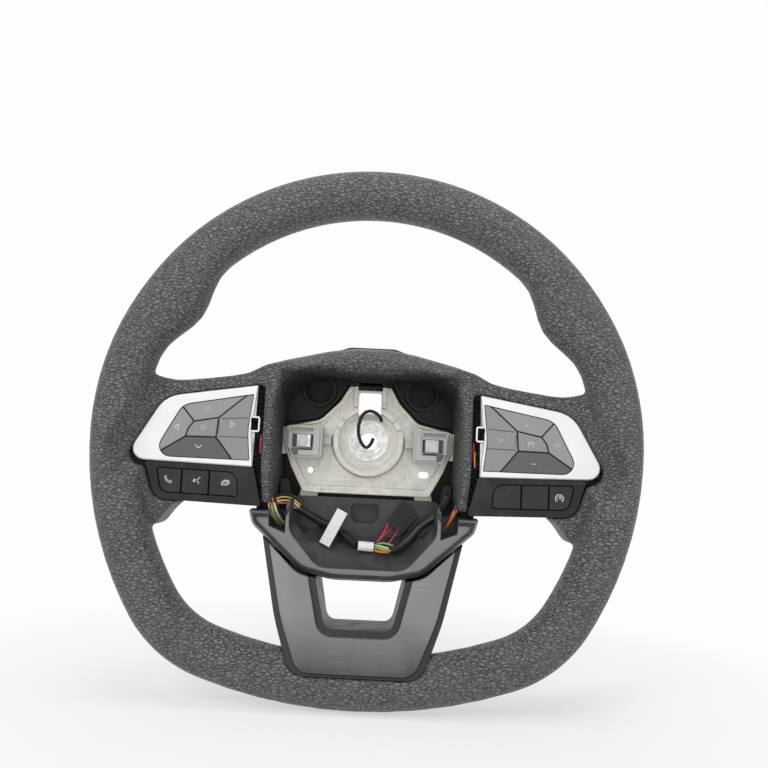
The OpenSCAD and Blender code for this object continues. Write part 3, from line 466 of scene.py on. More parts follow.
@dataclass(frozen=True)
class MouldedPlastic(Finish):
    """Moulded plastic with a spark-eroded grain, dust and fine scratches."""

    grain: float = 0.00002
    dust: float = 0.15
    scratches: float = 0.25
    coat: float = 0.0
    shine: float = 0.32
    coat_roughness: float = 0.22
    grains_per_metre: float = 6500.0
    smears_per_metre: float = 46.0
    specks_per_metre: float = 1500.0
    speck: Colour = (0.36, 0.36, 0.35)

    def paint(self, graph: Graph) -> None:
        """Adds smeared dust, specks and hair scratches.

        Args:
            graph: the material's nodes.
        """
        smears = graph.span(graph.noise(self.smears_per_metre, 5.0, 0.6, warp=0.6), 0.48, 0.74)
        specks = graph.span(graph.noise(self.specks_per_metre, 1.0, 0.5), 0.70, 0.76)
        hairs = graph.sum(graph.hairs(900.0, (1.0, 0.4, 0.025), 37),
                          graph.hairs(700.0, (0.03, 0.4, 1.0), 21, 0.67, 0.71), "MAXIMUM")
        colour = graph.over(self.colour, self.faded(0.7, 0.06), smears, self.dust)
        colour = graph.over(colour, self.speck, specks, self.dust)
        colour = graph.over(colour, self.faded(0.6, 0.13), hairs, self.scratches / 2)
        wear = graph.sum(graph.times(smears, 0.16), graph.times(hairs, 0.10))
        self.wire(graph, colour, graph.sum(self.roughness, wear))

    def wire(self, graph: Graph, colour: Paint, rough: Number) -> None:
        """Wires the shader with the mould's grain, the coat and the shine.

        Args:
            graph: the material's nodes.
            colour: the base colour.
            rough: the roughness.
        """
        grain = graph.bump(graph.noise(self.grains_per_metre, 2.0, 0.65), self.grain)
        graph.finish(colour, rough, grain, Coat_Weight=self.coat,
                     Coat_Roughness=self.coat_roughness, Specular_IOR_Level=self.shine)


@dataclass(frozen=True)
class CoverPlastic(MouldedPlastic):
    """The lower cover's plastic: a grey band on the front, its grey a painted reflection of the sky, and
    a dark bead round it.
    """

    # The band's grey is a painted reflection on the cover's front.
    band: Colour = (0.190, 0.197, 0.200)
    bead: Colour = (0.010, 0.010, 0.011)
    smear: Colour = (0.15, 0.152, 0.152)
    scuff: Colour = (0.30, 0.30, 0.30)
    bowl_y: float = -0.0640
    bowl_blend: float = 0.0006
    bead_y: float = -0.0663
    bead_blend: float = 0.0002

    def paint(self, graph: Graph) -> None:
        """Adds the band, a painted reflection, and the bead by their depth, with smears and scuffs.

        Args:
            graph: the material's nodes.
        """
        depth = graph.along("Y")
        on_reflection_band = graph.span(depth, self.bowl_y, self.bowl_y - self.bowl_blend)
        on_bead = graph.span(depth, self.bead_y + self.bead_blend, self.bead_y - self.bead_blend)
        smears = graph.span(graph.noise(60.0, 5.0, 0.62, warp=0.8), 0.42, 0.72)
        hairs = graph.hairs(900.0, (0.03, 0.4, 1.0), 15)
        # The band is painted lighter: a painted reflection.
        colour = graph.mixed(on_reflection_band, self.colour, self.band)
        colour = graph.mixed(on_bead, colour, self.bead)
        colour = graph.over(colour, self.smear, smears, 0.20)
        colour = graph.over(colour, self.scuff, hairs, 0.10)
        self.wire(graph, colour, graph.span(smears, 0.0, 1.0, self.roughness, self.roughness + 0.16))


@dataclass(frozen=True)
class SpokePlastic(MouldedPlastic):
    """The lower spoke's grey plastic, with painted shade darker towards its lower end."""

    # The lower end is painted darker by this share: painted shade.
    foot: float = 0.24
    foot_z: float = -0.150
    top_z: float = -0.118

    def paint(self, graph: Graph) -> None:
        """Adds painted shade towards the lower end, cloudy wear and a few hair scratches.

        Args:
            graph: the material's nodes.
        """
        clouds = graph.span(graph.noise(28.0, 5.0, 0.6, warp=0.5), 0.34, 0.70)
        hairs = graph.hairs(700.0, (0.03, 0.4, 1.0), 58)
        height = graph.span(graph.along("Z"), self.foot_z, self.top_z)
        # Painted shade: darker towards the lower end.
        colour = graph.mixed(height, self.shade(self.foot), self.colour)
        colour = graph.over(colour, self.shade(1.5), clouds, 0.22)
        colour = graph.over(colour, self.shade(2.2), hairs, 0.16)
        self.wire(graph, colour, graph.span(clouds, 0.0, 1.0, self.roughness, self.roughness + 0.12))


@dataclass(frozen=True)
class SatinPlating(Finish):
    """Satin plated plastic: a pale metal skin with a very fine blast."""

    metal: float = 0.4
    blast_depth: float = 0.000006

    def paint(self, graph: Graph) -> None:
        """Adds a fine blasted relief, a faint cloudiness and rubs.

        Args:
            graph: the material's nodes.
        """
        clouds = graph.noise(60.0, 4.0, 0.5)
        blast = graph.noise(9000.0, 2.0, 0.6)
        rubs = graph.hairs(800.0, (0.05, 0.5, 1.0), 12)
        colour = graph.mixed(graph.span(clouds, 0.3, 0.7), self.shade(0.95), self.colour)
        colour = graph.over(colour, self.shade(0.72), rubs, 0.22)
        rough = graph.span(clouds, 0.3, 0.7, self.roughness - 0.04, self.roughness + 0.05)
        graph.finish(colour, rough, graph.bump(blast, self.blast_depth), Metallic=self.metal)


@dataclass(frozen=True)
class CastMetal(Finish):
    """Die-cast alloy: mottled skin, scuffs, and dark grease in patches."""

    stain: float = 0.5
    metal: float = 0.62
    speck: Colour = (0.05, 0.05, 0.045)
    grease: Colour = (0.10, 0.098, 0.09)
    dirt: Colour = (0.03, 0.029, 0.026)
    dirt_top: float = -0.0535
    dirt_height: float = 0.012
    dirt_blend: float = 0.003
    flow_depth: float = 0.00012
    skin_depth: float = 0.00003

    def paint(self, graph: Graph) -> None:
        """Adds flow marks, bright scuffs, dark specks, and dirt along the lower edge.

        Args:
            graph: the material's nodes.
        """
        skin = graph.noise(2600.0, 3.0, 0.6)
        flow = graph.noise(90.0, 5.0, 0.62, warp=1.2)
        scuffs = graph.hairs(620.0, (0.04, 1.0, 0.9), -34, 0.60, 0.68, 3.0, 0.6)
        cross = graph.hairs(760.0, (0.9, 1.0, 0.035), 14, 0.62, 0.69, 3.0, 0.6)
        specks = graph.span(graph.noise(1250.0, 2.0, 0.6), 0.68, 0.75)
        greased = graph.span(graph.noise(34.0, 6.0, 0.66), 0.60, 0.72)
        colour = graph.mixed(graph.span(flow, 0.3, 0.72), self.shade(0.80), self.shade(1.08))
        colour = graph.over(colour, self.shade(1.3), scuffs, 0.45)
        colour = graph.over(colour, self.shade(0.55), cross, 0.5)
        colour = graph.over(colour, self.speck, specks, self.stain)
        colour = graph.over(colour, self.grease, greased, self.stain / 2)
        colour = graph.over(colour, self.dirt, self.dirty_edge(graph))
        rough = graph.span(flow, 0.3, 0.7, self.roughness - 0.06, self.roughness + 0.1)
        normal = graph.bump(flow, self.flow_depth, graph.bump(skin, self.skin_depth))
        graph.finish(colour, rough, normal, Metallic=self.metal)

    def dirty_edge(self, graph: Graph) -> Socket:
        """Finds the crumbs of dirt along the plate's lower edge.

        Args:
            graph: the material's nodes.

        Returns:
            The value output, 1 in a crumb.
        """
        height = graph.along("Z")
        low = self.dirt_top - self.dirt_height
        band = graph.times(graph.span(height, self.dirt_top, self.dirt_top - self.dirt_blend),
                           graph.span(height, low, low + self.dirt_blend))
        crumbs = graph.span(graph.noise(520.0, 4.0, 0.7, graph.stretched((0.6, 1.0, 1.0))), 0.50, 0.58)
        return graph.times(band, crumbs)


@dataclass(frozen=True)
class TurnedSteel(Finish):
    """Turned or drawn steel, worn bright in rings, with dark grit."""

    metal: float = 0.9
    grit: Colour = (0.03, 0.028, 0.026)
    mark_depth: float = 0.00002

    def paint(self, graph: Graph) -> None:
        """Adds tool marks, a blotchy tarnish and grit.

        Args:
            graph: the material's nodes.
        """
        tarnish = graph.noise(240.0, 4.0, 0.6)
        marks = graph.noise(3800.0, 2.0, 0.5, graph.stretched((0.2, 1.0, 0.2)))
        grit = graph.span(graph.noise(1700.0, 2.0, 0.5), 0.66, 0.74)
        colour = graph.mixed(graph.span(tarnish, 0.35, 0.7), self.colour, self.shade(0.62))
        colour = graph.over(colour, self.grit, grit, 0.7)
        rough = graph.span(tarnish, 0.3, 0.7, self.roughness - 0.08, self.roughness + 0.12)
        graph.finish(colour, rough, graph.bump(marks, self.mark_depth), Metallic=self.metal)


@dataclass(frozen=True)
class WireSkin(Finish):
    """Soft extruded insulation with a slight oil film."""

    slot: str = "harness_black"
    coat: float = 0.2
    coat_roughness: float = 0.3
    ripple_depth: float = 0.00002

    def paint(self, graph: Graph) -> None:
        """Adds a faint ripple and grubby patches.

        Args:
            graph: the material's nodes.
        """
        grub = graph.span(graph.noise(160.0, 4.0, 0.6), 0.45, 0.75)
        ripple = graph.bump(graph.noise(2400.0, 2.0, 0.5), self.ripple_depth)
        colour = graph.over(self.colour, self.shade(0.45), grub, 0.35)
        rough = graph.span(grub, 0.0, 1.0, self.roughness, self.roughness + 0.2)
        graph.finish(colour, rough, ripple, Coat_Weight=self.coat, Coat_Roughness=self.coat_roughness)


@dataclass(frozen=True)
class PlainFilm(Finish):
    """Bare label film: slightly creased, with no print."""

    crease_depth: float = 0.00012

    def paint(self, graph: Graph) -> None:
        """Adds creases and a handled greyness.

        Args:
            graph: the material's nodes.
        """
        handled = graph.span(graph.noise(210.0, 4.0, 0.6), 0.4, 0.75)
        creases = graph.bump(graph.noise(420.0, 3.0, 0.55, warp=0.8), self.crease_depth)
        rough = graph.span(handled, 0.0, 1.0, self.roughness, self.roughness + 0.15)
        graph.finish(graph.over(self.colour, self.shade(0.72), handled, 0.4), rough, creases)


@dataclass(frozen=True)
class PrintedInk(Finish):
    """Pad-printed ink, rubbed thin by fingers."""

    rubbed: float = 0.4
    relief: float = 0.00001

    def paint(self, graph: Graph) -> None:
        """Adds the rubbed patches.

        Args:
            graph: the material's nodes.
        """
        rub = graph.span(graph.noise(1500.0, 3.0, 0.6), 0.40, 0.66)
        rough = graph.span(rub, 0.0, 1.0, self.roughness, self.roughness + 0.1)
        graph.finish(graph.over(self.colour, self.shade(0.42), rub, self.rubbed), rough,
                     graph.bump(graph.noise(5000.0), self.relief))


FOAM = PebbledFoam("pebbled_foam", (0.132, 0.138, 0.139), 0.42)
PLATE_METAL = CastMetal("cast_plate", (0.64, 0.625, 0.570), 0.40, 0.85)
INSERT_STEEL = TurnedSteel("turned_insert", (0.86, 0.86, 0.84), 0.34)
SCREW_STEEL = TurnedSteel("screw_steel", (0.40, 0.40, 0.41), 0.36)
LATCH_STEEL = TurnedSteel("latch_steel", (0.62, 0.62, 0.61), 0.26)
REAR_PLASTIC = MouldedPlastic("rear_cover_plastic", (0.013, 0.013, 0.014), 0.42, 0.00003, 0.16, 0.3)
LOWER_PLASTIC = CoverPlastic("lower_cover_plastic", (0.040, 0.041, 0.042), 0.30, 0.00001, coat=0.2)
TRIM_GREY = SpokePlastic("trim_grey", (0.205, 0.213, 0.217), 0.34, 0.00001)
TRIM_DARK = MouldedPlastic("trim_border", (0.020, 0.021, 0.022), 0.40, 0.00002, 0.16, 0.3)
PANEL_PLASTIC = MouldedPlastic("panel_plastic", (0.012, 0.0125, 0.013), 0.34, 0.00001, 0.26, 0.3)
HIDDEN_PLASTIC = MouldedPlastic("hidden_plastic", (0.03, 0.03, 0.032), 0.55, 0.00002, 0.1, 0.1)
PLATING = SatinPlating("satin_plating", (0.89, 0.895, 0.90), 0.32)
# The three key tones are one grey plastic in lit and shaded copies: a painted highlight on the pale
# keys, painted shade on the dark grey ones.
KEY_PAINTED_LIGHT = MouldedPlastic("key_pale", (0.300, 0.305, 0.309), 0.38, 0.00001, 0.20, 0.3)
KEY_GREY = MouldedPlastic("key_grey", (0.265, 0.270, 0.274), 0.38, 0.00001, 0.20, 0.3)
KEY_PAINTED_SHADE = MouldedPlastic("key_dark_grey", (0.110, 0.113, 0.116), 0.38, 0.00001, 0.24, 0.3)
KEY_BLACK = MouldedPlastic("key_black", (0.020, 0.0205, 0.0215), 0.36, 0.00001, 0.26, 0.3)
CLIP_NYLON = MouldedPlastic("clip_nylon", (0.46, 0.46, 0.44), 0.40, 0.00003, 0.5, 0.5)
BOARD = MouldedPlastic("circuit_laminate", (0.03, 0.12, 0.055), 0.32, 0.00001, 0.1, 0.1)
MAT = MouldedPlastic("silicone_mat", (0.56, 0.56, 0.54), 0.5, 0.00001, 0.1, 0.0)
HARNESS_BLACK = MouldedPlastic("harness_black", (0.011, 0.011, 0.012), 0.36, 0.00006, 0.16, 0.1)
TIE_BLACK = MouldedPlastic("tie_black", (0.005, 0.005, 0.005), 0.34, 0.00002, 0.05, 0.1)
FILM = PlainFilm("plain_film", (0.80, 0.80, 0.79), 0.5)
INK = PrintedInk("symbol_ink", (0.72, 0.73, 0.74), 0.45)
FAINT_INK = PrintedInk("faint_ink", (0.62, 0.63, 0.64), 0.45, 0.6)
ORANGE_SKIN = WireSkin("orange_skin", (0.80, 0.24, 0.04), 0.34, "orange_wire")
WHITE_SKIN = WireSkin("white_skin", (0.80, 0.78, 0.70), 0.36, "white_wire")
RED_SKIN = WireSkin("red_skin", (0.55, 0.03, 0.10), 0.34, "red_wire")
GREEN_SKIN = WireSkin("green_skin", (0.22, 0.42, 0.10), 0.36, "green_wire")
YELLOW_SKIN = WireSkin("yellow_skin", (0.78, 0.56, 0.10), 0.36, "orange_wire")
BLACK_SKIN = WireSkin("black_skin", (0.010, 0.010, 0.010), 0.34)
VIOLET_SKIN = WireSkin("violet_skin", (0.10, 0.09, 0.30), 0.36)


@dataclass(frozen=True)
class Rounding:
    """How the edges of a moulded or cast piece are rounded.

    A solid with narrow ribs has its flat faces split into triangles first, so
    that the roundings of two edges that meet spoil no large face. The shortest
    edge that is rounded and the furthest that a corner may stray are shares of
    the width.
    """

    width: float = 0.2 * MM
    segments: int = 2
    sharp: float = 32.0
    split: bool = False
    weld: float = 0.02 * MM
    flat: float = 0.6
    shortest: float = 0.4
    stray: float = 1.25

    def of(self, nodes: Sequence[str]) -> bmesh.types.BMesh:
        """Copies solids, welds them and rounds their sharp edges.

        Args:
            nodes: the names of the solids.

        Returns:
            The rounded mesh, with no corner further out than the rounding reaches.
        """
        rounded = welded(nodes, self.weld)
        bmesh.ops.dissolve_limit(rounded, angle_limit=math.radians(self.flat),
                                 verts=rounded.verts, edges=rounded.edges)
        if self.split:
            bmesh.ops.triangulate(rounded, faces=[f for f in rounded.faces if len(f.verts) > 4],
                                  quad_method="BEAUTY", ngon_method="BEAUTY")
        plain = BVHTree.FromBMesh(rounded)
        edges = [e for e in rounded.edges if len(e.link_faces) == 2
                 and e.calc_face_angle(0.0) > math.radians(self.sharp)
                 and e.calc_length() > self.shortest * self.width]
        bmesh.ops.bevel(rounded, geom=edges, offset=self.width, offset_type="OFFSET",
                        segments=self.segments, profile=0.5, affect="EDGES",
                        clamp_overlap=False, loop_slide=True, material=-1)
        strays = 0
        for vert in rounded.verts:
            near, _, _, gap = plain.find_nearest(vert.co)
            if gap > self.stray * self.width:
                vert.co = near
                strays += 1
        if strays:
            log.info("%s: %d strayed corners set back", nodes[0], strays)
        return rounded


def welded(nodes: Sequence[str], reach: float) -> bmesh.types.BMesh:
    """Copies solids into one mesh and welds their loose triangles.

    Args:
        nodes: the names of the solids.
        reach: the distance within which corners are one.

    Returns:
        The welded mesh.
    """
    mesh = bmesh.new()
    for name in nodes:
        mesh.from_mesh(frame["nodes"][name].data)
    bmesh.ops.remove_doubles(mesh, verts=mesh.verts, dist=reach)
    bmesh.ops.dissolve_degenerate(mesh, dist=0.002 * MM, edges=mesh.edges)
    return mesh


def placed(name: str, mesh: bmesh.types.BMesh,
           material: Optional[bpy.types.Material] = None) -> bpy.types.Object:
    """Puts a mesh into the scene, at the origin.

    Args:
        name: the object's name.
        mesh: its mesh, which is used up.
        material: its material.

    Returns:
        The object.
    """
    data = bpy.data.meshes.new(name)
    mesh.to_mesh(data)
    mesh.free()
    if material is not None:
        data.materials.append(material)
    made = bpy.data.objects.new(name, data)
    bpy.context.scene.collection.objects.link(made)
    return made


def piece(name: str, mesh: bmesh.types.BMesh, finish: Finish, body: str,
          replaced: Sequence[str] = (),
          crease: float = 40.0) -> bpy.types.Object:
    """Turns a mesh into a finished piece that rides on a body.

    Args:
        name: the piece's name.
        mesh: its mesh, which is used up.
        finish: its surface.
        body: the body that carries it.
        replaced: the solids that it stands for.
        crease: edges with a turn above this many degrees stay sharp.

    Returns:
        The object.
    """
    for face in mesh.faces:
        face.smooth = True
    for edge in mesh.edges:
        edge.smooth = len(edge.link_faces) == 2 and edge.calc_face_angle(0.0) < math.radians(crease)
    made = placed(name, mesh, finish.material())
    even = made.modifiers.new("even_shading", "WEIGHTED_NORMAL")
    even.keep_sharp = True
    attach(made, body)
    if replaced:
        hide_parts(*replaced)
    return made


def dressed(node: str, finish: Finish, rounding: Rounding = Rounding()) -> bpy.types.Object:
    """A rounded copy of one solid that stands for it.

    Args:
        node: the solid's name.
        finish: its surface.
        rounding: how its edges are rounded.

    Returns:
        The object.
    """
    body = frame["nodes"][node]["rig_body"]
    made = piece(f"{node}_skin", rounding.of([node]), finish, body, [node])
    log.info("%s: %d faces", made.name, len(made.data.polygons))
    return made


@dataclass
class FoamSkin:
    """The soft moulding of the rim, the spokes and the hub, as one skin.

    Its solids meet face to face at the seams, whose places are in mm. A face lies
    on a seam where it is square to the axis and within reach of the place.
    """

    nodes: tuple[str, ...] = ("rim_grip", "lower_rim_grip", "right_rim_grip", "left_rim_grip",
                              "brow_grip", "right_spoke_grip", "left_spoke_grip")
    seams_x: tuple[float, ...] = (-138.0, -58.0, 58.0, 138.0)
    seams_z: tuple[float, ...] = (-70.0, 42.0)
    square: float = 0.999
    reach: float = 0.01 * MM
    weld: float = 0.02 * MM
    voxel: float = 1.42 * MM
    passes: int = 4
    finish: Finish = FOAM

    def on_seam(self, face: bmesh.types.BMFace) -> bool:
        """Tells whether a face is one of those where two lengths of foam meet.

        Args:
            face: a face of the welded solids.

        Returns:
            True for a face inside the moulding.
        """
        middle = face.calc_center_median()
        for turn, place, seams in ((face.normal.x, middle.x, self.seams_x),
                                   (face.normal.z, middle.z, self.seams_z)):
            if abs(turn) > self.square and any(abs(place - seam * MM) < self.reach for seam in seams):
                return True
        return False

    def build(self) -> bpy.types.Object:
        """Remeshes the foam's solids evenly and smooths their facets away.

        Returns:
            The foam's object.
        """
        source = welded(self.nodes, self.weld)
        source.normal_update()
        bmesh.ops.delete(source, geom=[f for f in source.faces if self.on_seam(f)], context="FACES")
        rough = placed("foam_source", source)
        grid = rough.modifiers.new("even_grid", "REMESH")
        grid.mode = "VOXEL"
        grid.voxel_size = self.voxel
        evaluated = rough.evaluated_get(bpy.context.evaluated_depsgraph_get())
        even = bpy.data.meshes.new_from_object(evaluated)
        bpy.data.objects.remove(rough)
        skin = bmesh.new()
        skin.from_mesh(even)
        for _ in range(self.passes):
            bmesh.ops.smooth_vert(skin, verts=skin.verts, factor=0.5,
                                  use_axis_x=True, use_axis_y=True, use_axis_z=True)
        body = frame["nodes"][self.nodes[0]]["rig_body"]
        made = piece("foam_skin", skin, self.finish, body, self.nodes, 180.0)
        log.info("foam_skin: %d faces", len(made.data.polygons))
        return made


@dataclass(frozen=True)
class FoamBar:
    """A crisp bar of foam, with its lowest and highest corner in mm."""

    name: str
    low: Place
    high: Place
    edge: float = 0.6 * MM
    long: float = 20 * MM
    cuts: int = 7
    sharp: float = 30.0

    def build(self, body: str, slot: Optional[str]) -> bpy.types.Object:
        """Makes the bar with rounded edges.

        Args:
            body: the body that carries it.
            slot: the record's material slot, which is not used.

        Returns:
            The bar's object.
        """
        mesh = bmesh.new()
        low, high = Vector(self.low) * MM, Vector(self.high) * MM
        bmesh.ops.create_cube(mesh, size=1.0)
        bmesh.ops.scale(mesh, verts=mesh.verts, vec=high - low)
        bmesh.ops.translate(mesh, verts=mesh.verts, vec=(low + high) / 2)
        bmesh.ops.subdivide_edges(mesh, cuts=self.cuts,
                                  edges=[e for e in mesh.edges if e.calc_length() > self.long])
        corners = [e for e in mesh.edges if e.calc_face_angle(0.0) > math.radians(self.sharp)]
        bmesh.ops.bevel(mesh, geom=corners, offset=self.edge, offset_type="OFFSET", segments=3,
                        profile=0.5, affect="EDGES", material=-1)
        return piece(self.name, mesh, FOAM, body)


@dataclass
class RecessDetails:
    """The hooked rib under the recess's lip, and a tongue of dark foam on the plate's web, which stands
    in for the shade there.
    """

    bars: tuple[FoamBar, ...] = (
        FoamBar("hook_rib", (-24.6, -66.1, 46.2), (24.6, -61.5, 48.6), 0.8 * MM),
        # The web's tongue is dark foam put where the web lies in shade: painted shade.
        FoamBar("web_tongue", (-8.6, -33.6, 37.7), (8.6, -29.4, 46.5)),
        FoamBar("web_tongue_root", (-16.3, -33.6, 40.2), (16.3, -29.4, 46.5)),
    )

    def build(self) -> None:
        """Adds every bar to the foam's body."""
        for bar in self.bars:
            bar.build(frame["nodes"]["brow_grip"]["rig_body"], SLOT_OF["brow_grip"])


@dataclass
class Hub:
    """The cast plate with its insert, and the covers behind and below it."""

    cast_rounding: Rounding = Rounding(0.25 * MM, 2, 30.0, True)
    rear_rounding: Rounding = Rounding(0.2 * MM, 2, 32.0)
    cover_rounding: Rounding = Rounding(0.28 * MM, 2, 32.0)
    screw_rounding: Rounding = Rounding(0.15 * MM)

    def build(self) -> None:
        """Dresses the plate, the insert, the covers and their screws."""
        dressed("armature", PLATE_METAL, self.cast_rounding)
        dressed("hub_insert", INSERT_STEEL)
        dressed("rear_cover", REAR_PLASTIC, self.rear_rounding)
        dressed("lower_cover", LOWER_PLASTIC, self.cover_rounding)
        dressed("cover_screws", SCREW_STEEL, self.screw_rounding)


@dataclass
class LowerSpoke:
    """The three mouldings of the U-shaped lower spoke."""

    rounding: Rounding = Rounding(0.35 * MM, 3, 25.0)

    def build(self) -> None:
        """Dresses the grey face, its dark border and the back."""
        dressed("spoke_trim", TRIM_GREY, self.rounding)
        dressed("spoke_trim_base", TRIM_DARK, self.rounding)
        dressed("spoke_trim_back", TRIM_DARK, self.rounding)


@dataclass
class AirbagClips:
    """The two clips that hold the airbag module, with their sliding latches."""

    rounding: Rounding = Rounding(0.2 * MM, 2, 30.0, True)

    def build(self) -> None:
        """Dresses both clips and latches."""
        for side in Side:
            dressed(f"{side.word}_airbag_clip", CLIP_NYLON, self.rounding)
            dressed(f"{side.word}_clip_latch", LATCH_STEEL, self.rounding)


@dataclass(frozen=True)
class Strand:
    """One thin wire beside the thick ones, with its points in mm."""

    name: str
    skin: WireSkin
    points: tuple[Place, ...]
    radius: float = 0.62 * MM
    sides: int = 8
    steps: int = 5

    def route(self) -> list[Vector]:
        """Runs a smooth line through the points.

        Returns:
            The line's points in metres.
        """
        knots = [Vector(p) * MM for p in self.points]
        ends = [knots[0] * 2 - knots[1], *knots, knots[-1] * 2 - knots[-2]]
        line = []
        for a, b, c, d in zip(ends, ends[1:], ends[2:], ends[3:]):
            for step in range(self.steps):
                u = step / self.steps
                line.append(b + 0.5 * u * ((c - a) + u * ((2 * a - 5 * b + 4 * c - d)
                                                          + u * (3 * b - a - 3 * c + d))))
        return line + [knots[-1]]

    def stance(self, line: list[Vector], step: int) -> Matrix:
        """The place and turn of the wire's section at one of the line's points.

        Args:
            line: the line's points.
            step: the point's number.

        Returns:
            The matrix.
        """
        ahead = line[min(step + 1, len(line) - 1)] - line[max(step - 1, 0)]
        return Matrix.LocRotScale(line[step], ahead.to_track_quat("Z", "Y"), None)

    def build(self, body: str) -> bpy.types.Object:
        """Draws the wire's section out along the line.

        Args:
            body: the body that carries it.

        Returns:
            The strand's object.
        """
        line = self.route()
        mesh = bmesh.new()
        bmesh.ops.create_circle(mesh, cap_ends=True, segments=self.sides, radius=self.radius)
        bmesh.ops.transform(mesh, matrix=self.stance(line, 0), verts=mesh.verts)
        cap = mesh.faces[:][0]
        for step in range(1, len(line)):
            grown = bmesh.ops.extrude_face_region(mesh, geom=[cap], use_keep_orig=step == 1)["geom"]
            cap = next(g for g in grown if isinstance(g, bmesh.types.BMFace))
            turn = self.stance(line, step) @ self.stance(line, step - 1).inverted()
            bmesh.ops.transform(mesh, matrix=turn, verts=cap.verts)
        bmesh.ops.recalc_face_normals(mesh, faces=mesh.faces)
        return piece(self.name, mesh, self.skin, body, crease=60.0)


@dataclass
class Harness:
    """The wires, their sleeve and clips, the connector and its bare labels."""

    rounding: Rounding = Rounding(0.25 * MM, 2, 35.0)
    wire_rounding: Rounding = Rounding(0.05 * MM, 1, 60.0)
    film_rounding: Rounding = Rounding(0.05 * MM, 1, 50.0)
    skins: tuple[tuple[str, WireSkin], ...] = (
        ("orange_wires", ORANGE_SKIN), ("white_wires", WHITE_SKIN),
        ("red_wires", RED_SKIN), ("green_wires", GREEN_SKIN))
    strands: tuple[Strand, ...] = (
        Strand("left_strand_a", ORANGE_SKIN, (
            (-66.0, -58.5, -44.0), (-65.2, -57.2, -49.5), (-62.6, -54.4, -55.5), (-58.8, -49.0, -61.3))),
        Strand("left_strand_b", ORANGE_SKIN, (
            (-64.4, -58.9, -43.2), (-63.2, -57.6, -49.2), (-60.6, -54.2, -55.0), (-57.2, -48.5, -60.8))),
        Strand("left_strand_c", WHITE_SKIN, (
            (-67.2, -58.0, -45.0), (-66.6, -56.8, -50.4), (-64.2, -54.0, -56.4), (-60.6, -48.8, -62.0))),
        Strand("left_strand_d", BLACK_SKIN, (
            (-62.8, -58.4, -43.0), (-60.8, -56.8, -48.8), (-58.0, -53.4, -54.4), (-55.4, -48.2, -60.0))),
        Strand("left_strand_e", YELLOW_SKIN, (
            (-62.4, -57.6, -44.6), (-58.0, -53.8, -42.8), (-52.0, -49.6, -43.8), (-46.0, -46.2, -48.2))),
        Strand("left_strand_f", WHITE_SKIN, (
            (-61.8, -57.2, -46.0), (-57.4, -53.4, -45.2), (-51.6, -49.2, -46.0), (-46.6, -46.4, -50.0))),
        Strand("left_strand_g", BLACK_SKIN, (
            (-62.6, -57.0, -43.4), (-57.4, -53.0, -41.0), (-50.4, -48.6, -42.2), (-44.8, -45.6, -47.4))),
        Strand("left_strand_h", ORANGE_SKIN, (
            (-61.6, -57.0, -47.0), (-57.0, -53.2, -47.2), (-52.4, -49.6, -48.0), (-48.6, -46.8, -51.0))),
        Strand("right_strand_a", RED_SKIN, (
            (65.4, -58.4, -42.5), (63.6, -56.8, -47.0), (61.0, -53.4, -52.5), (57.8, -49.0, -58.5))),
        Strand("right_strand_b", VIOLET_SKIN, (
            (64.0, -58.0, -43.0), (62.0, -56.2, -47.6), (59.2, -52.8, -53.0), (56.2, -49.0, -58.8))),
        Strand("right_strand_c", ORANGE_SKIN, (
            (66.6, -58.2, -41.0), (65.2, -57.0, -46.0), (62.6, -54.2, -51.6), (59.6, -50.0, -57.6))),
        Strand("lead_a", RED_SKIN, (
            (17.6, -38.6, -57.4), (16.2, -42.6, -61.6), (13.8, -46.4, -66.0), (11.0, -47.8, -71.0))),
        Strand("lead_b", RED_SKIN, (
            (24.6, -38.6, -62.4), (23.0, -43.0, -65.6), (20.4, -47.0, -69.4), (17.0, -49.2, -73.4))),
        Strand("lead_c", GREEN_SKIN, (
            (9.4, -48.4, -73.4), (13.6, -51.6, -71.8), (19.4, -52.6, -72.6), (25.0, -51.8, -75.2))),
        Strand("lead_d", YELLOW_SKIN, (
            (9.4, -48.8, -75.6), (14.4, -52.2, -76.8), (20.4, -52.6, -76.6), (25.6, -51.6, -76.4))),
    )

    def build(self) -> None:
        """Dresses every piece of the harness and adds its thin strands."""
        for node, skin in self.skins:
            dressed(node, skin, self.wire_rounding)
        for node in ("harness_sleeve", "harness_connector"):
            dressed(node, HARNESS_BLACK, self.rounding)
        dressed("cable_tie", TIE_BLACK, self.rounding)
        for side in Side:
            dressed(f"{side.word}_harness_clip", HARNESS_BLACK, self.rounding)
        for node in ("harness_tag", "sleeve_label"):
            dressed(node, FILM, self.film_rounding)
        for strand in self.strands:
            strand.build(frame["nodes"]["orange_wires"]["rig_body"])


def arc(centre: Point, radius: float, start: float, end: float, steps: int = 14) -> list[Point]:
    """Points along an arc.

    Args:
        centre: the arc's centre in mm.
        radius: its radius in mm.
        start: the first angle in degrees, from the right and upwards.
        end: the last angle in degrees.
        steps: how many pieces the arc has.

    Returns:
        The points in mm.
    """
    turns = [math.radians(start + (end - start) * i / steps) for i in range(steps + 1)]
    return [(centre[0] + radius * math.cos(a), centre[1] + radius * math.sin(a)) for a in turns]


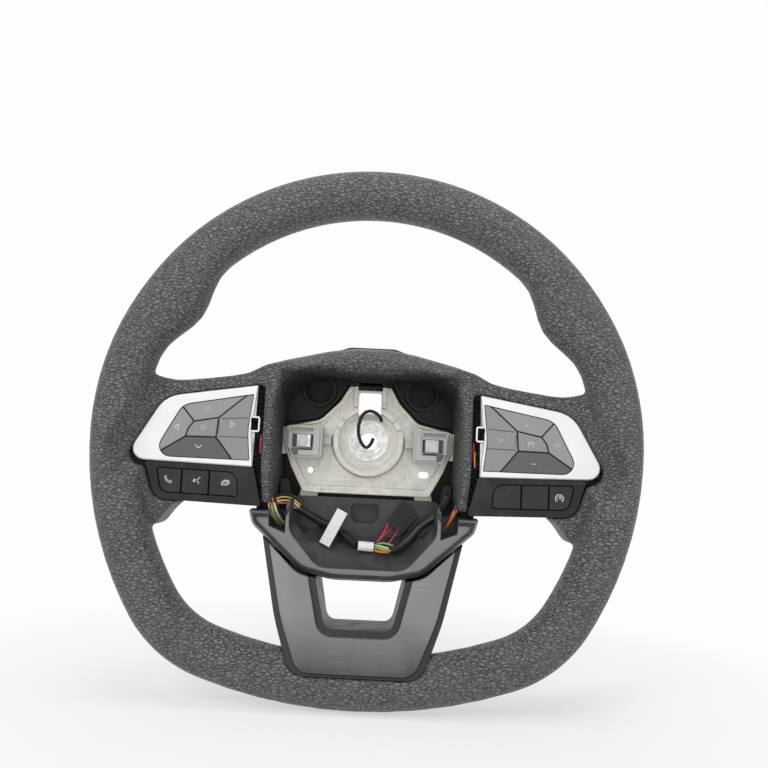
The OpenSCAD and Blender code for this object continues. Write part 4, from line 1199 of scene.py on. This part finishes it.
@dataclass(frozen=True)
class Stroke:
    """One printed line of a symbol, drawn in mm about the symbol's middle.

    At a sharp turn the line is no wider than the width divided by the mitre.
    """

    points: tuple[Point, ...]
    width: float = 0.42
    mitre: float = 0.45

    def draw(self, mesh: bmesh.types.BMesh, centre: Point) -> None:
        """Sweeps the line's width along its points.

        Args:
            mesh: the symbol's mesh, in mm on X and Z.
            centre: the symbol's place in mm.
        """
        path = [Vector((x + centre[0], 0.0, z + centre[1])) for x, z in self.points]
        start, end = self.across(path, 0)
        edge = mesh.edges.new((mesh.verts.new(start), mesh.verts.new(end)))
        for step in range(1, len(path)):
            grown = bmesh.ops.extrude_edge_only(mesh, edges=[edge])["geom"]
            edge = next(g for g in grown if isinstance(g, bmesh.types.BMEdge))
            one, two = sorted(edge.verts, key=lambda v: (v.co - start).length)
            start, end = self.across(path, step)
            one.co = start
            two.co = end

    def across(self, path: list[Vector], step: int) -> tuple[Vector, Vector]:
        """The two ends of the line's width at one of its points.

        Args:
            path: the line's points.
            step: the point's number.

        Returns:
            The left and the right end.
        """
        closed = (path[0] - path[-1]).length < TINY
        before = path[step - 1] if step else (path[-2] if closed else path[0])
        after = path[step + 1] if step + 1 < len(path) else (path[1] if closed else path[-1])
        into, out = (path[step] - before), (after - path[step])
        into = into.normalized() if into.length > TINY else out.normalized()
        out = out.normalized() if out.length > TINY else into
        ahead = (into + out).normalized()
        side = Vector((-ahead.z, 0.0, ahead.x))
        reach = 0.5 * self.width / max(self.mitre, side.dot(Vector((-into.z, 0.0, into.x))))
        return path[step] - side * reach, path[step] + side * reach


class Symbol(Enum):
    """The plain marks on the keys."""

    PLUS = (Stroke(((-1.3, 0), (1.3, 0))), Stroke(((0, -1.3), (0, 1.3))))
    MINUS = (Stroke(((-1.4, 0), (1.4, 0))),)
    CHEVRON_UP = (Stroke(((-2.2, -0.9), (0, 1.1), (2.2, -0.9)), 0.42),)
    CHEVRON_DOWN = (Stroke(((-2.2, 1.0), (0, -1.1), (2.2, 1.0)), 0.55),)
    POINT_LEFT = (Stroke(((1.2, 0), (1.2, 2.0), (-1.5, 0), (1.2, -2.0), (1.2, 0)), 0.42),)
    POINT_RIGHT = (Stroke(((-1.2, 0), (-1.2, 2.0), (1.5, 0), (-1.2, -2.0), (-1.2, 0)), 0.42),)
    RING = (Stroke(tuple(arc((0, 0), 1.5, 0, 360, 24)), 0.34),
            Stroke(tuple(arc((0, 0), 0.22, 0, 360, 8)), 0.4))
    DIAL = (Stroke(tuple(arc((0, 0), 2.0, -50, 230, 24)), 0.36),
            Stroke(((0, 0), (-1.9, 1.8)), 0.45),
            Stroke(((0.2, 0.2), (0.9, 0.9)), 0.34))
    LIMIT_DIAL = (Stroke(tuple(arc((0, 0), 2.7, -50, 230, 28)), 0.5),
                  Stroke(tuple(arc((0, 0), 1.6, -50, 230, 20)), 0.3),
                  Stroke(((-0.2, -0.2), (1.0, 1.0)), 0.7))
    RESUME = (Stroke(tuple(arc((0, 0), 1.4, 210, -40, 16)), 0.34),
              Stroke(((-1.9, 0.1), (-1.25, -0.75), (-0.5, 0.0)), 0.34))
    BARS = (Stroke(((-1.0, -1.2), (-1.0, 1.2)), 0.5), Stroke(((1.0, -1.2), (1.0, 1.2)), 0.5))
    HANDSET = (Stroke(((-2.1, 2.3), (-2.4, 1.2), (-1.9, -0.2), (-0.9, -1.4), (0.4, -2.2),
                       (1.6, -2.5), (2.5, -2.0)), 0.42),
               Stroke(((-1.4, 2.5), (-1.2, 1.6), (-1.5, 1.1), (-1.0, 0.2), (-0.2, -0.7),
                       (0.6, -1.2), (1.2, -0.9), (2.2, -1.1), (2.5, -2.0)), 0.36))
    VOICE = (Stroke(((-2.2, -0.6), (-1.2, -0.9), (-0.7, 0.1), (-1.2, 0.9), (-2.0, 0.2),
                     (-2.2, -0.6)), 0.5),
             Stroke(((0.2, 0.6), (1.0, 0.6), (1.3, 1.6), (2.0, 2.2), (2.7, 1.9)), 0.42),
             Stroke(((0.3, -0.6), (1.1, -0.7), (1.5, -1.5), (1.2, -2.3)), 0.42))
    SCREENS = (Stroke(((-2.4, -1.5), (1.3, -1.5), (2.0, -0.8), (2.0, 1.0), (1.4, 1.4), (-1.2, 1.4),
                       (-2.4, 0.4), (-2.4, -1.5)), 0.4),
               Stroke(((-1.6, -0.7), (0.9, -0.7), (1.4, -0.1), (1.4, 0.7), (-1.0, 0.7),
                       (-1.6, 0.2), (-1.6, -0.7)), 0.34),
               Stroke(((-1.4, 1.9), (2.0, 1.9), (2.6, 1.3), (2.6, -0.5)), 0.34))


@dataclass(frozen=True)
class Mark:
    """A symbol on a key, with its middle in mm across and up from the rim's centre."""

    key: str
    symbol: Symbol
    centre: Point
    ink: PrintedInk = INK


LEFT_MARKS = (
    Mark("up", Symbol.CHEVRON_UP, (-111.5, 15.8), FAINT_INK),
    Mark("outer", Symbol.POINT_LEFT, (-131.6, 2.4)),
    Mark("middle", Symbol.RING, (-113.8, 3.0), FAINT_INK),
    Mark("inner", Symbol.POINT_RIGHT, (-94.2, 5.6)),
    Mark("down", Symbol.CHEVRON_DOWN, (-116.2, -10.4)),
    Mark("phone", Symbol.HANDSET, (-135.0, -33.6)),
    Mark("voice", Symbol.VOICE, (-116.0, -33.8)),
    Mark("display", Symbol.SCREENS, (-96.6, -34.6)),
)
RIGHT_MARKS = (
    Mark("up", Symbol.PLUS, (110.0, 14.3), FAINT_INK),
    Mark("outer", Symbol.RESUME, (131.3, 1.3), FAINT_INK),
    Mark("middle", Symbol.DIAL, (113.3, 1.4)),
    Mark("inner", Symbol.BARS, (92.6, 3.5), FAINT_INK),
    Mark("down", Symbol.MINUS, (115.2, -11.9)),
    Mark("limit", Symbol.LIMIT_DIAL, (133.3, -34.5)),
)


@dataclass
class SwitchPod:
    """One pod of switches: plated bezel, housing, keys and what backs them.

    The ink stands out of the key by its height, and its depth is a share of that.
    """

    side: Side
    marks: tuple[Mark, ...]
    key_rounding: Rounding = Rounding(0.16 * MM, 2, 30.0)
    bezel_rounding: Rounding = Rounding(0.23 * MM, 3, 25.0)
    housing_rounding: Rounding = Rounding(0.18 * MM, 2, 30.0)
    board_rounding: Rounding = Rounding(0.1 * MM)
    # The pads' tones paint light and shade: the up and outer keys lighter, the down key darker.
    pad_tones: tuple[tuple[str, MouldedPlastic], ...] = (
        ("up", KEY_PAINTED_LIGHT), ("outer", KEY_PAINTED_LIGHT), ("inner", KEY_GREY),
        ("middle", KEY_GREY), ("down", KEY_PAINTED_SHADE))
    ink_height: float = 0.06 * MM
    ink_depth: float = 1.4
    ink_step: float = 0.8 * MM
    weld: float = 0.01 * MM
    in_front: float = -0.12

    def build(self) -> None:
        """Dresses the pod and prints its keys."""
        word = self.side.word
        dressed(f"{word}_bezel", PLATING, self.bezel_rounding)
        dressed(f"{word}_switch_housing", PANEL_PLASTIC, self.housing_rounding)
        dressed(f"{word}_switch_back", HIDDEN_PLASTIC)
        dressed(f"{word}_circuit_board", BOARD, self.board_rounding)
        dressed(f"{word}_switch_mat", MAT, self.board_rounding)
        for name, tone in self.pad_tones:
            dressed(f"{word}_{name}_button", tone, self.key_rounding)
        low_keys = ("phone", "voice", "display") if self.side is Side.LEFT else ("limit",)
        for name in low_keys:
            dressed(f"{word}_{name}_button", KEY_BLACK, self.key_rounding)
        if self.side is Side.RIGHT:
            dressed("right_blank_caps", KEY_BLACK, self.key_rounding)
        for mark in self.marks:
            self.print_mark(mark)

    def print_mark(self, mark: Mark) -> None:
        """Lays a mark on the face of its key.

        Args:
            mark: the mark.
        """
        key = f"{self.side.word}_{mark.key}"
        mesh = bmesh.new()
        for stroke in mark.symbol.value:
            stroke.draw(mesh, mark.centre)
        bmesh.ops.transform(mesh, matrix=Matrix.Scale(MM, 4), verts=mesh.verts)
        bmesh.ops.remove_doubles(mesh, verts=mesh.verts, dist=self.weld)
        bmesh.ops.subdivide_edges(mesh, cuts=1, use_grid_fill=True,
                                  edges=[e for e in mesh.edges if e.calc_length() > self.ink_step])
        node = f"{key}_button"
        solid = welded([node], self.weld)
        face = BVHTree.FromBMesh(solid)
        solid.free()
        for vert in mesh.verts:
            ahead = Vector((vert.co.x, self.in_front, vert.co.z))
            hit = face.ray_cast(ahead, Vector((0, 1, 0)))[0] or face.find_nearest(ahead)[0]
            vert.co.y = hit.y - self.ink_height
        sheet = mesh.faces[:]
        grown = bmesh.ops.extrude_face_region(mesh, geom=sheet, use_keep_orig=True)["geom"]
        bmesh.ops.translate(mesh, verts=[g for g in grown if isinstance(g, bmesh.types.BMVert)],
                            vec=(0, self.ink_height * self.ink_depth, 0))
        bmesh.ops.recalc_face_normals(mesh, faces=mesh.faces)
        piece(f"{key}_symbol", mesh, mark.ink, frame["nodes"][node]["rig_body"])


@dataclass(frozen=True)
class Lamp:
    """A soft square lamp, with its power in watts."""

    name: str
    place: Place
    side: float
    power: float

    def hang(self, target: Vector) -> None:
        """Hangs the lamp.

        Args:
            target: the point it faces.
        """
        light = bpy.data.lights.new(self.name, "AREA")
        light.size = self.side
        light.energy = self.power
        hung = bpy.data.objects.new(self.name, light)
        place = Vector(self.place)
        hung.matrix_world = Matrix.LocRotScale(
            place, (target - place).to_track_quat("-Z", "Y"), None)
        bpy.context.scene.collection.objects.link(hung)


@dataclass
class Studio:
    """Floor, sky and lamps: plain, pale and soft."""

    lamps: tuple[Lamp, ...] = (
        Lamp("key_lamp", (-0.75, -1.25, 0.95), 0.7, 10.5),
        Lamp("fill_lamp", (0.95, -1.15, 0.30), 1.0, 2.8),
        Lamp("top_lamp", (0.1, -0.25, 1.25), 0.8, 5.0),
    )
    floor_drop: float = 0.4 * MM
    floor_radius: float = 2.4
    floor_sides: int = 96
    floor_colour: Colour = (0.92, 0.92, 0.91)
    floor_roughness: float = 0.9
    floor_shine: float = 0.1
    fade_from: float = 0.16
    fade_to: float = 0.46
    glow_share: float = 0.55
    paper: Colour = (0.985, 0.985, 0.98)
    sky_colour: Colour = (0.97, 0.985, 1.0)
    sky_strength: float = 0.50

    def build(self, low: Vector, high: Vector) -> None:
        """Makes the floor, the sky and the lamps.

        Args:
            low: the wheel's lowest corner.
            high: the wheel's highest corner.
        """
        self.lay_floor(low)
        self.set_sky()
        middle = (low + high) / 2
        for lamp in self.lamps:
            lamp.hang(middle)

    def lay_floor(self, low: Vector) -> None:
        """Makes a round floor that fades into the sky.

        Args:
            low: the wheel's lowest corner.
        """
        mesh = bmesh.new()
        bmesh.ops.create_circle(mesh, cap_ends=True, segments=self.floor_sides,
                                radius=self.floor_radius)
        bmesh.ops.translate(mesh, verts=mesh.verts, vec=(0, RIM_CENTRE_Y, low.z - self.floor_drop))
        bmesh.ops.recalc_face_normals(mesh, faces=mesh.faces)
        graph = Graph("floor_paper")
        graph.finish(self.floor_colour, self.floor_roughness, None,
                     Specular_IOR_Level=self.floor_shine)
        tree = graph.tree
        centre = tree.nodes.new("ShaderNodeVectorMath")
        centre.operation = "SUBTRACT"
        graph.put(centre.inputs[0], graph.place)
        centre.inputs[1].default_value = (0, RIM_CENTRE_Y, low.z)
        reach = tree.nodes.new("ShaderNodeVectorMath")
        reach.operation = "LENGTH"
        graph.put(reach.inputs[0], centre.outputs["Vector"])
        far = graph.span(reach.outputs["Value"], self.fade_from, self.fade_to, self.glow_share, 1.0)
        glow = tree.nodes.new("ShaderNodeEmission")
        graph.put(glow.inputs["Color"], self.paper)
        blend = tree.nodes.new("ShaderNodeMixShader")
        graph.put(blend.inputs["Fac"], far)
        tree.links.new(graph.shader.outputs["BSDF"], blend.inputs[1])
        tree.links.new(glow.outputs["Emission"], blend.inputs[2])
        tree.links.new(blend.outputs["Shader"], tree.nodes["Material Output"].inputs["Surface"])
        placed("floor", mesh, graph.material)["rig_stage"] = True

    def set_sky(self) -> None:
        """Makes a sky that looks like white paper and lights softly."""
        world = bpy.data.worlds.new("pale_sky")
        bpy.context.scene.world = world
        world.use_nodes = True
        tree = world.node_tree
        light = tree.nodes["Background"]
        light.inputs["Color"].default_value = (*self.sky_colour, 1.0)
        light.inputs["Strength"].default_value = self.sky_strength
        seen = tree.nodes.new("ShaderNodeBackground")
        seen.inputs["Color"].default_value = (*self.paper, 1.0)
        rays = tree.nodes.new("ShaderNodeLightPath").outputs
        shown = rays["Is Camera Ray"]
        for name in ("Is Glossy Ray", "Is Transmission Ray"):
            either = tree.nodes.new("ShaderNodeMath")
            either.operation = "MAXIMUM"
            tree.links.new(shown, either.inputs[0])
            tree.links.new(rays[name], either.inputs[1])
            shown = either.outputs["Value"]
        mix = tree.nodes.new("ShaderNodeMixShader")
        tree.links.new(shown, mix.inputs["Fac"])
        tree.links.new(light.outputs["Background"], mix.inputs[1])
        tree.links.new(seen.outputs["Background"], mix.inputs[2])
        tree.links.new(mix.outputs["Shader"], tree.nodes["World Output"].inputs["Surface"])


@dataclass
class FrontCamera:
    """The camera, level with the lower hub and a little rolled."""

    place: Place = (0.0126, -0.6027, -0.0212)
    tilt: float = 6.43
    roll: float = 2.67
    focal_px: float = 770.0
    frame_px: float = 768.0
    sensor: float = 36.0
    near: float = 0.02
    far: float = 20.0

    def build(self) -> bpy.types.Object:
        """Makes the camera and sets it as the scene's.

        Returns:
            The camera's object.
        """
        tilt, roll = math.radians(self.tilt), math.radians(self.roll)
        right = Vector((math.cos(roll), 0, math.sin(roll)))
        ahead = Vector((-math.sin(tilt) * math.sin(roll), math.cos(tilt),
                        math.sin(tilt) * math.cos(roll)))
        up = right.cross(ahead)
        data = bpy.data.cameras.new("front_camera")
        data.sensor_width = self.sensor
        data.lens = self.focal_px / self.frame_px * self.sensor
        data.clip_start, data.clip_end = self.near, self.far
        camera = bpy.data.objects.new("front_camera", data)
        turn = Matrix((right, up, -ahead)).transposed().to_4x4()
        camera.matrix_world = Matrix.Translation(Vector(self.place)) @ turn
        bpy.context.scene.collection.objects.link(camera)
        bpy.context.scene.camera = camera
        return camera


def main() -> None:
    """Builds the whole scene."""
    logging.basicConfig(level=logging.INFO, format="%(message)s")
    low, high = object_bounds()
    bpy.context.scene.view_settings.view_transform = "Standard"
    FrontCamera().build()
    Studio().build(low, high)
    for assembly in (FoamSkin(), RecessDetails(), Hub(), LowerSpoke(), AirbagClips(), Harness(),
                     SwitchPod(Side.LEFT, LEFT_MARKS), SwitchPod(Side.RIGHT, RIGHT_MARKS)):
        assembly.build()
        log.info("%s is built", type(assembly).__name__)
    for name, node in frame["nodes"].items():
        if not node.hide_render:
            node.data.materials.clear()
            node.data.materials.append(PLATE_METAL.material())
            log.info("%s keeps its own solid", name)


if __name__ == "__main__":
    main()
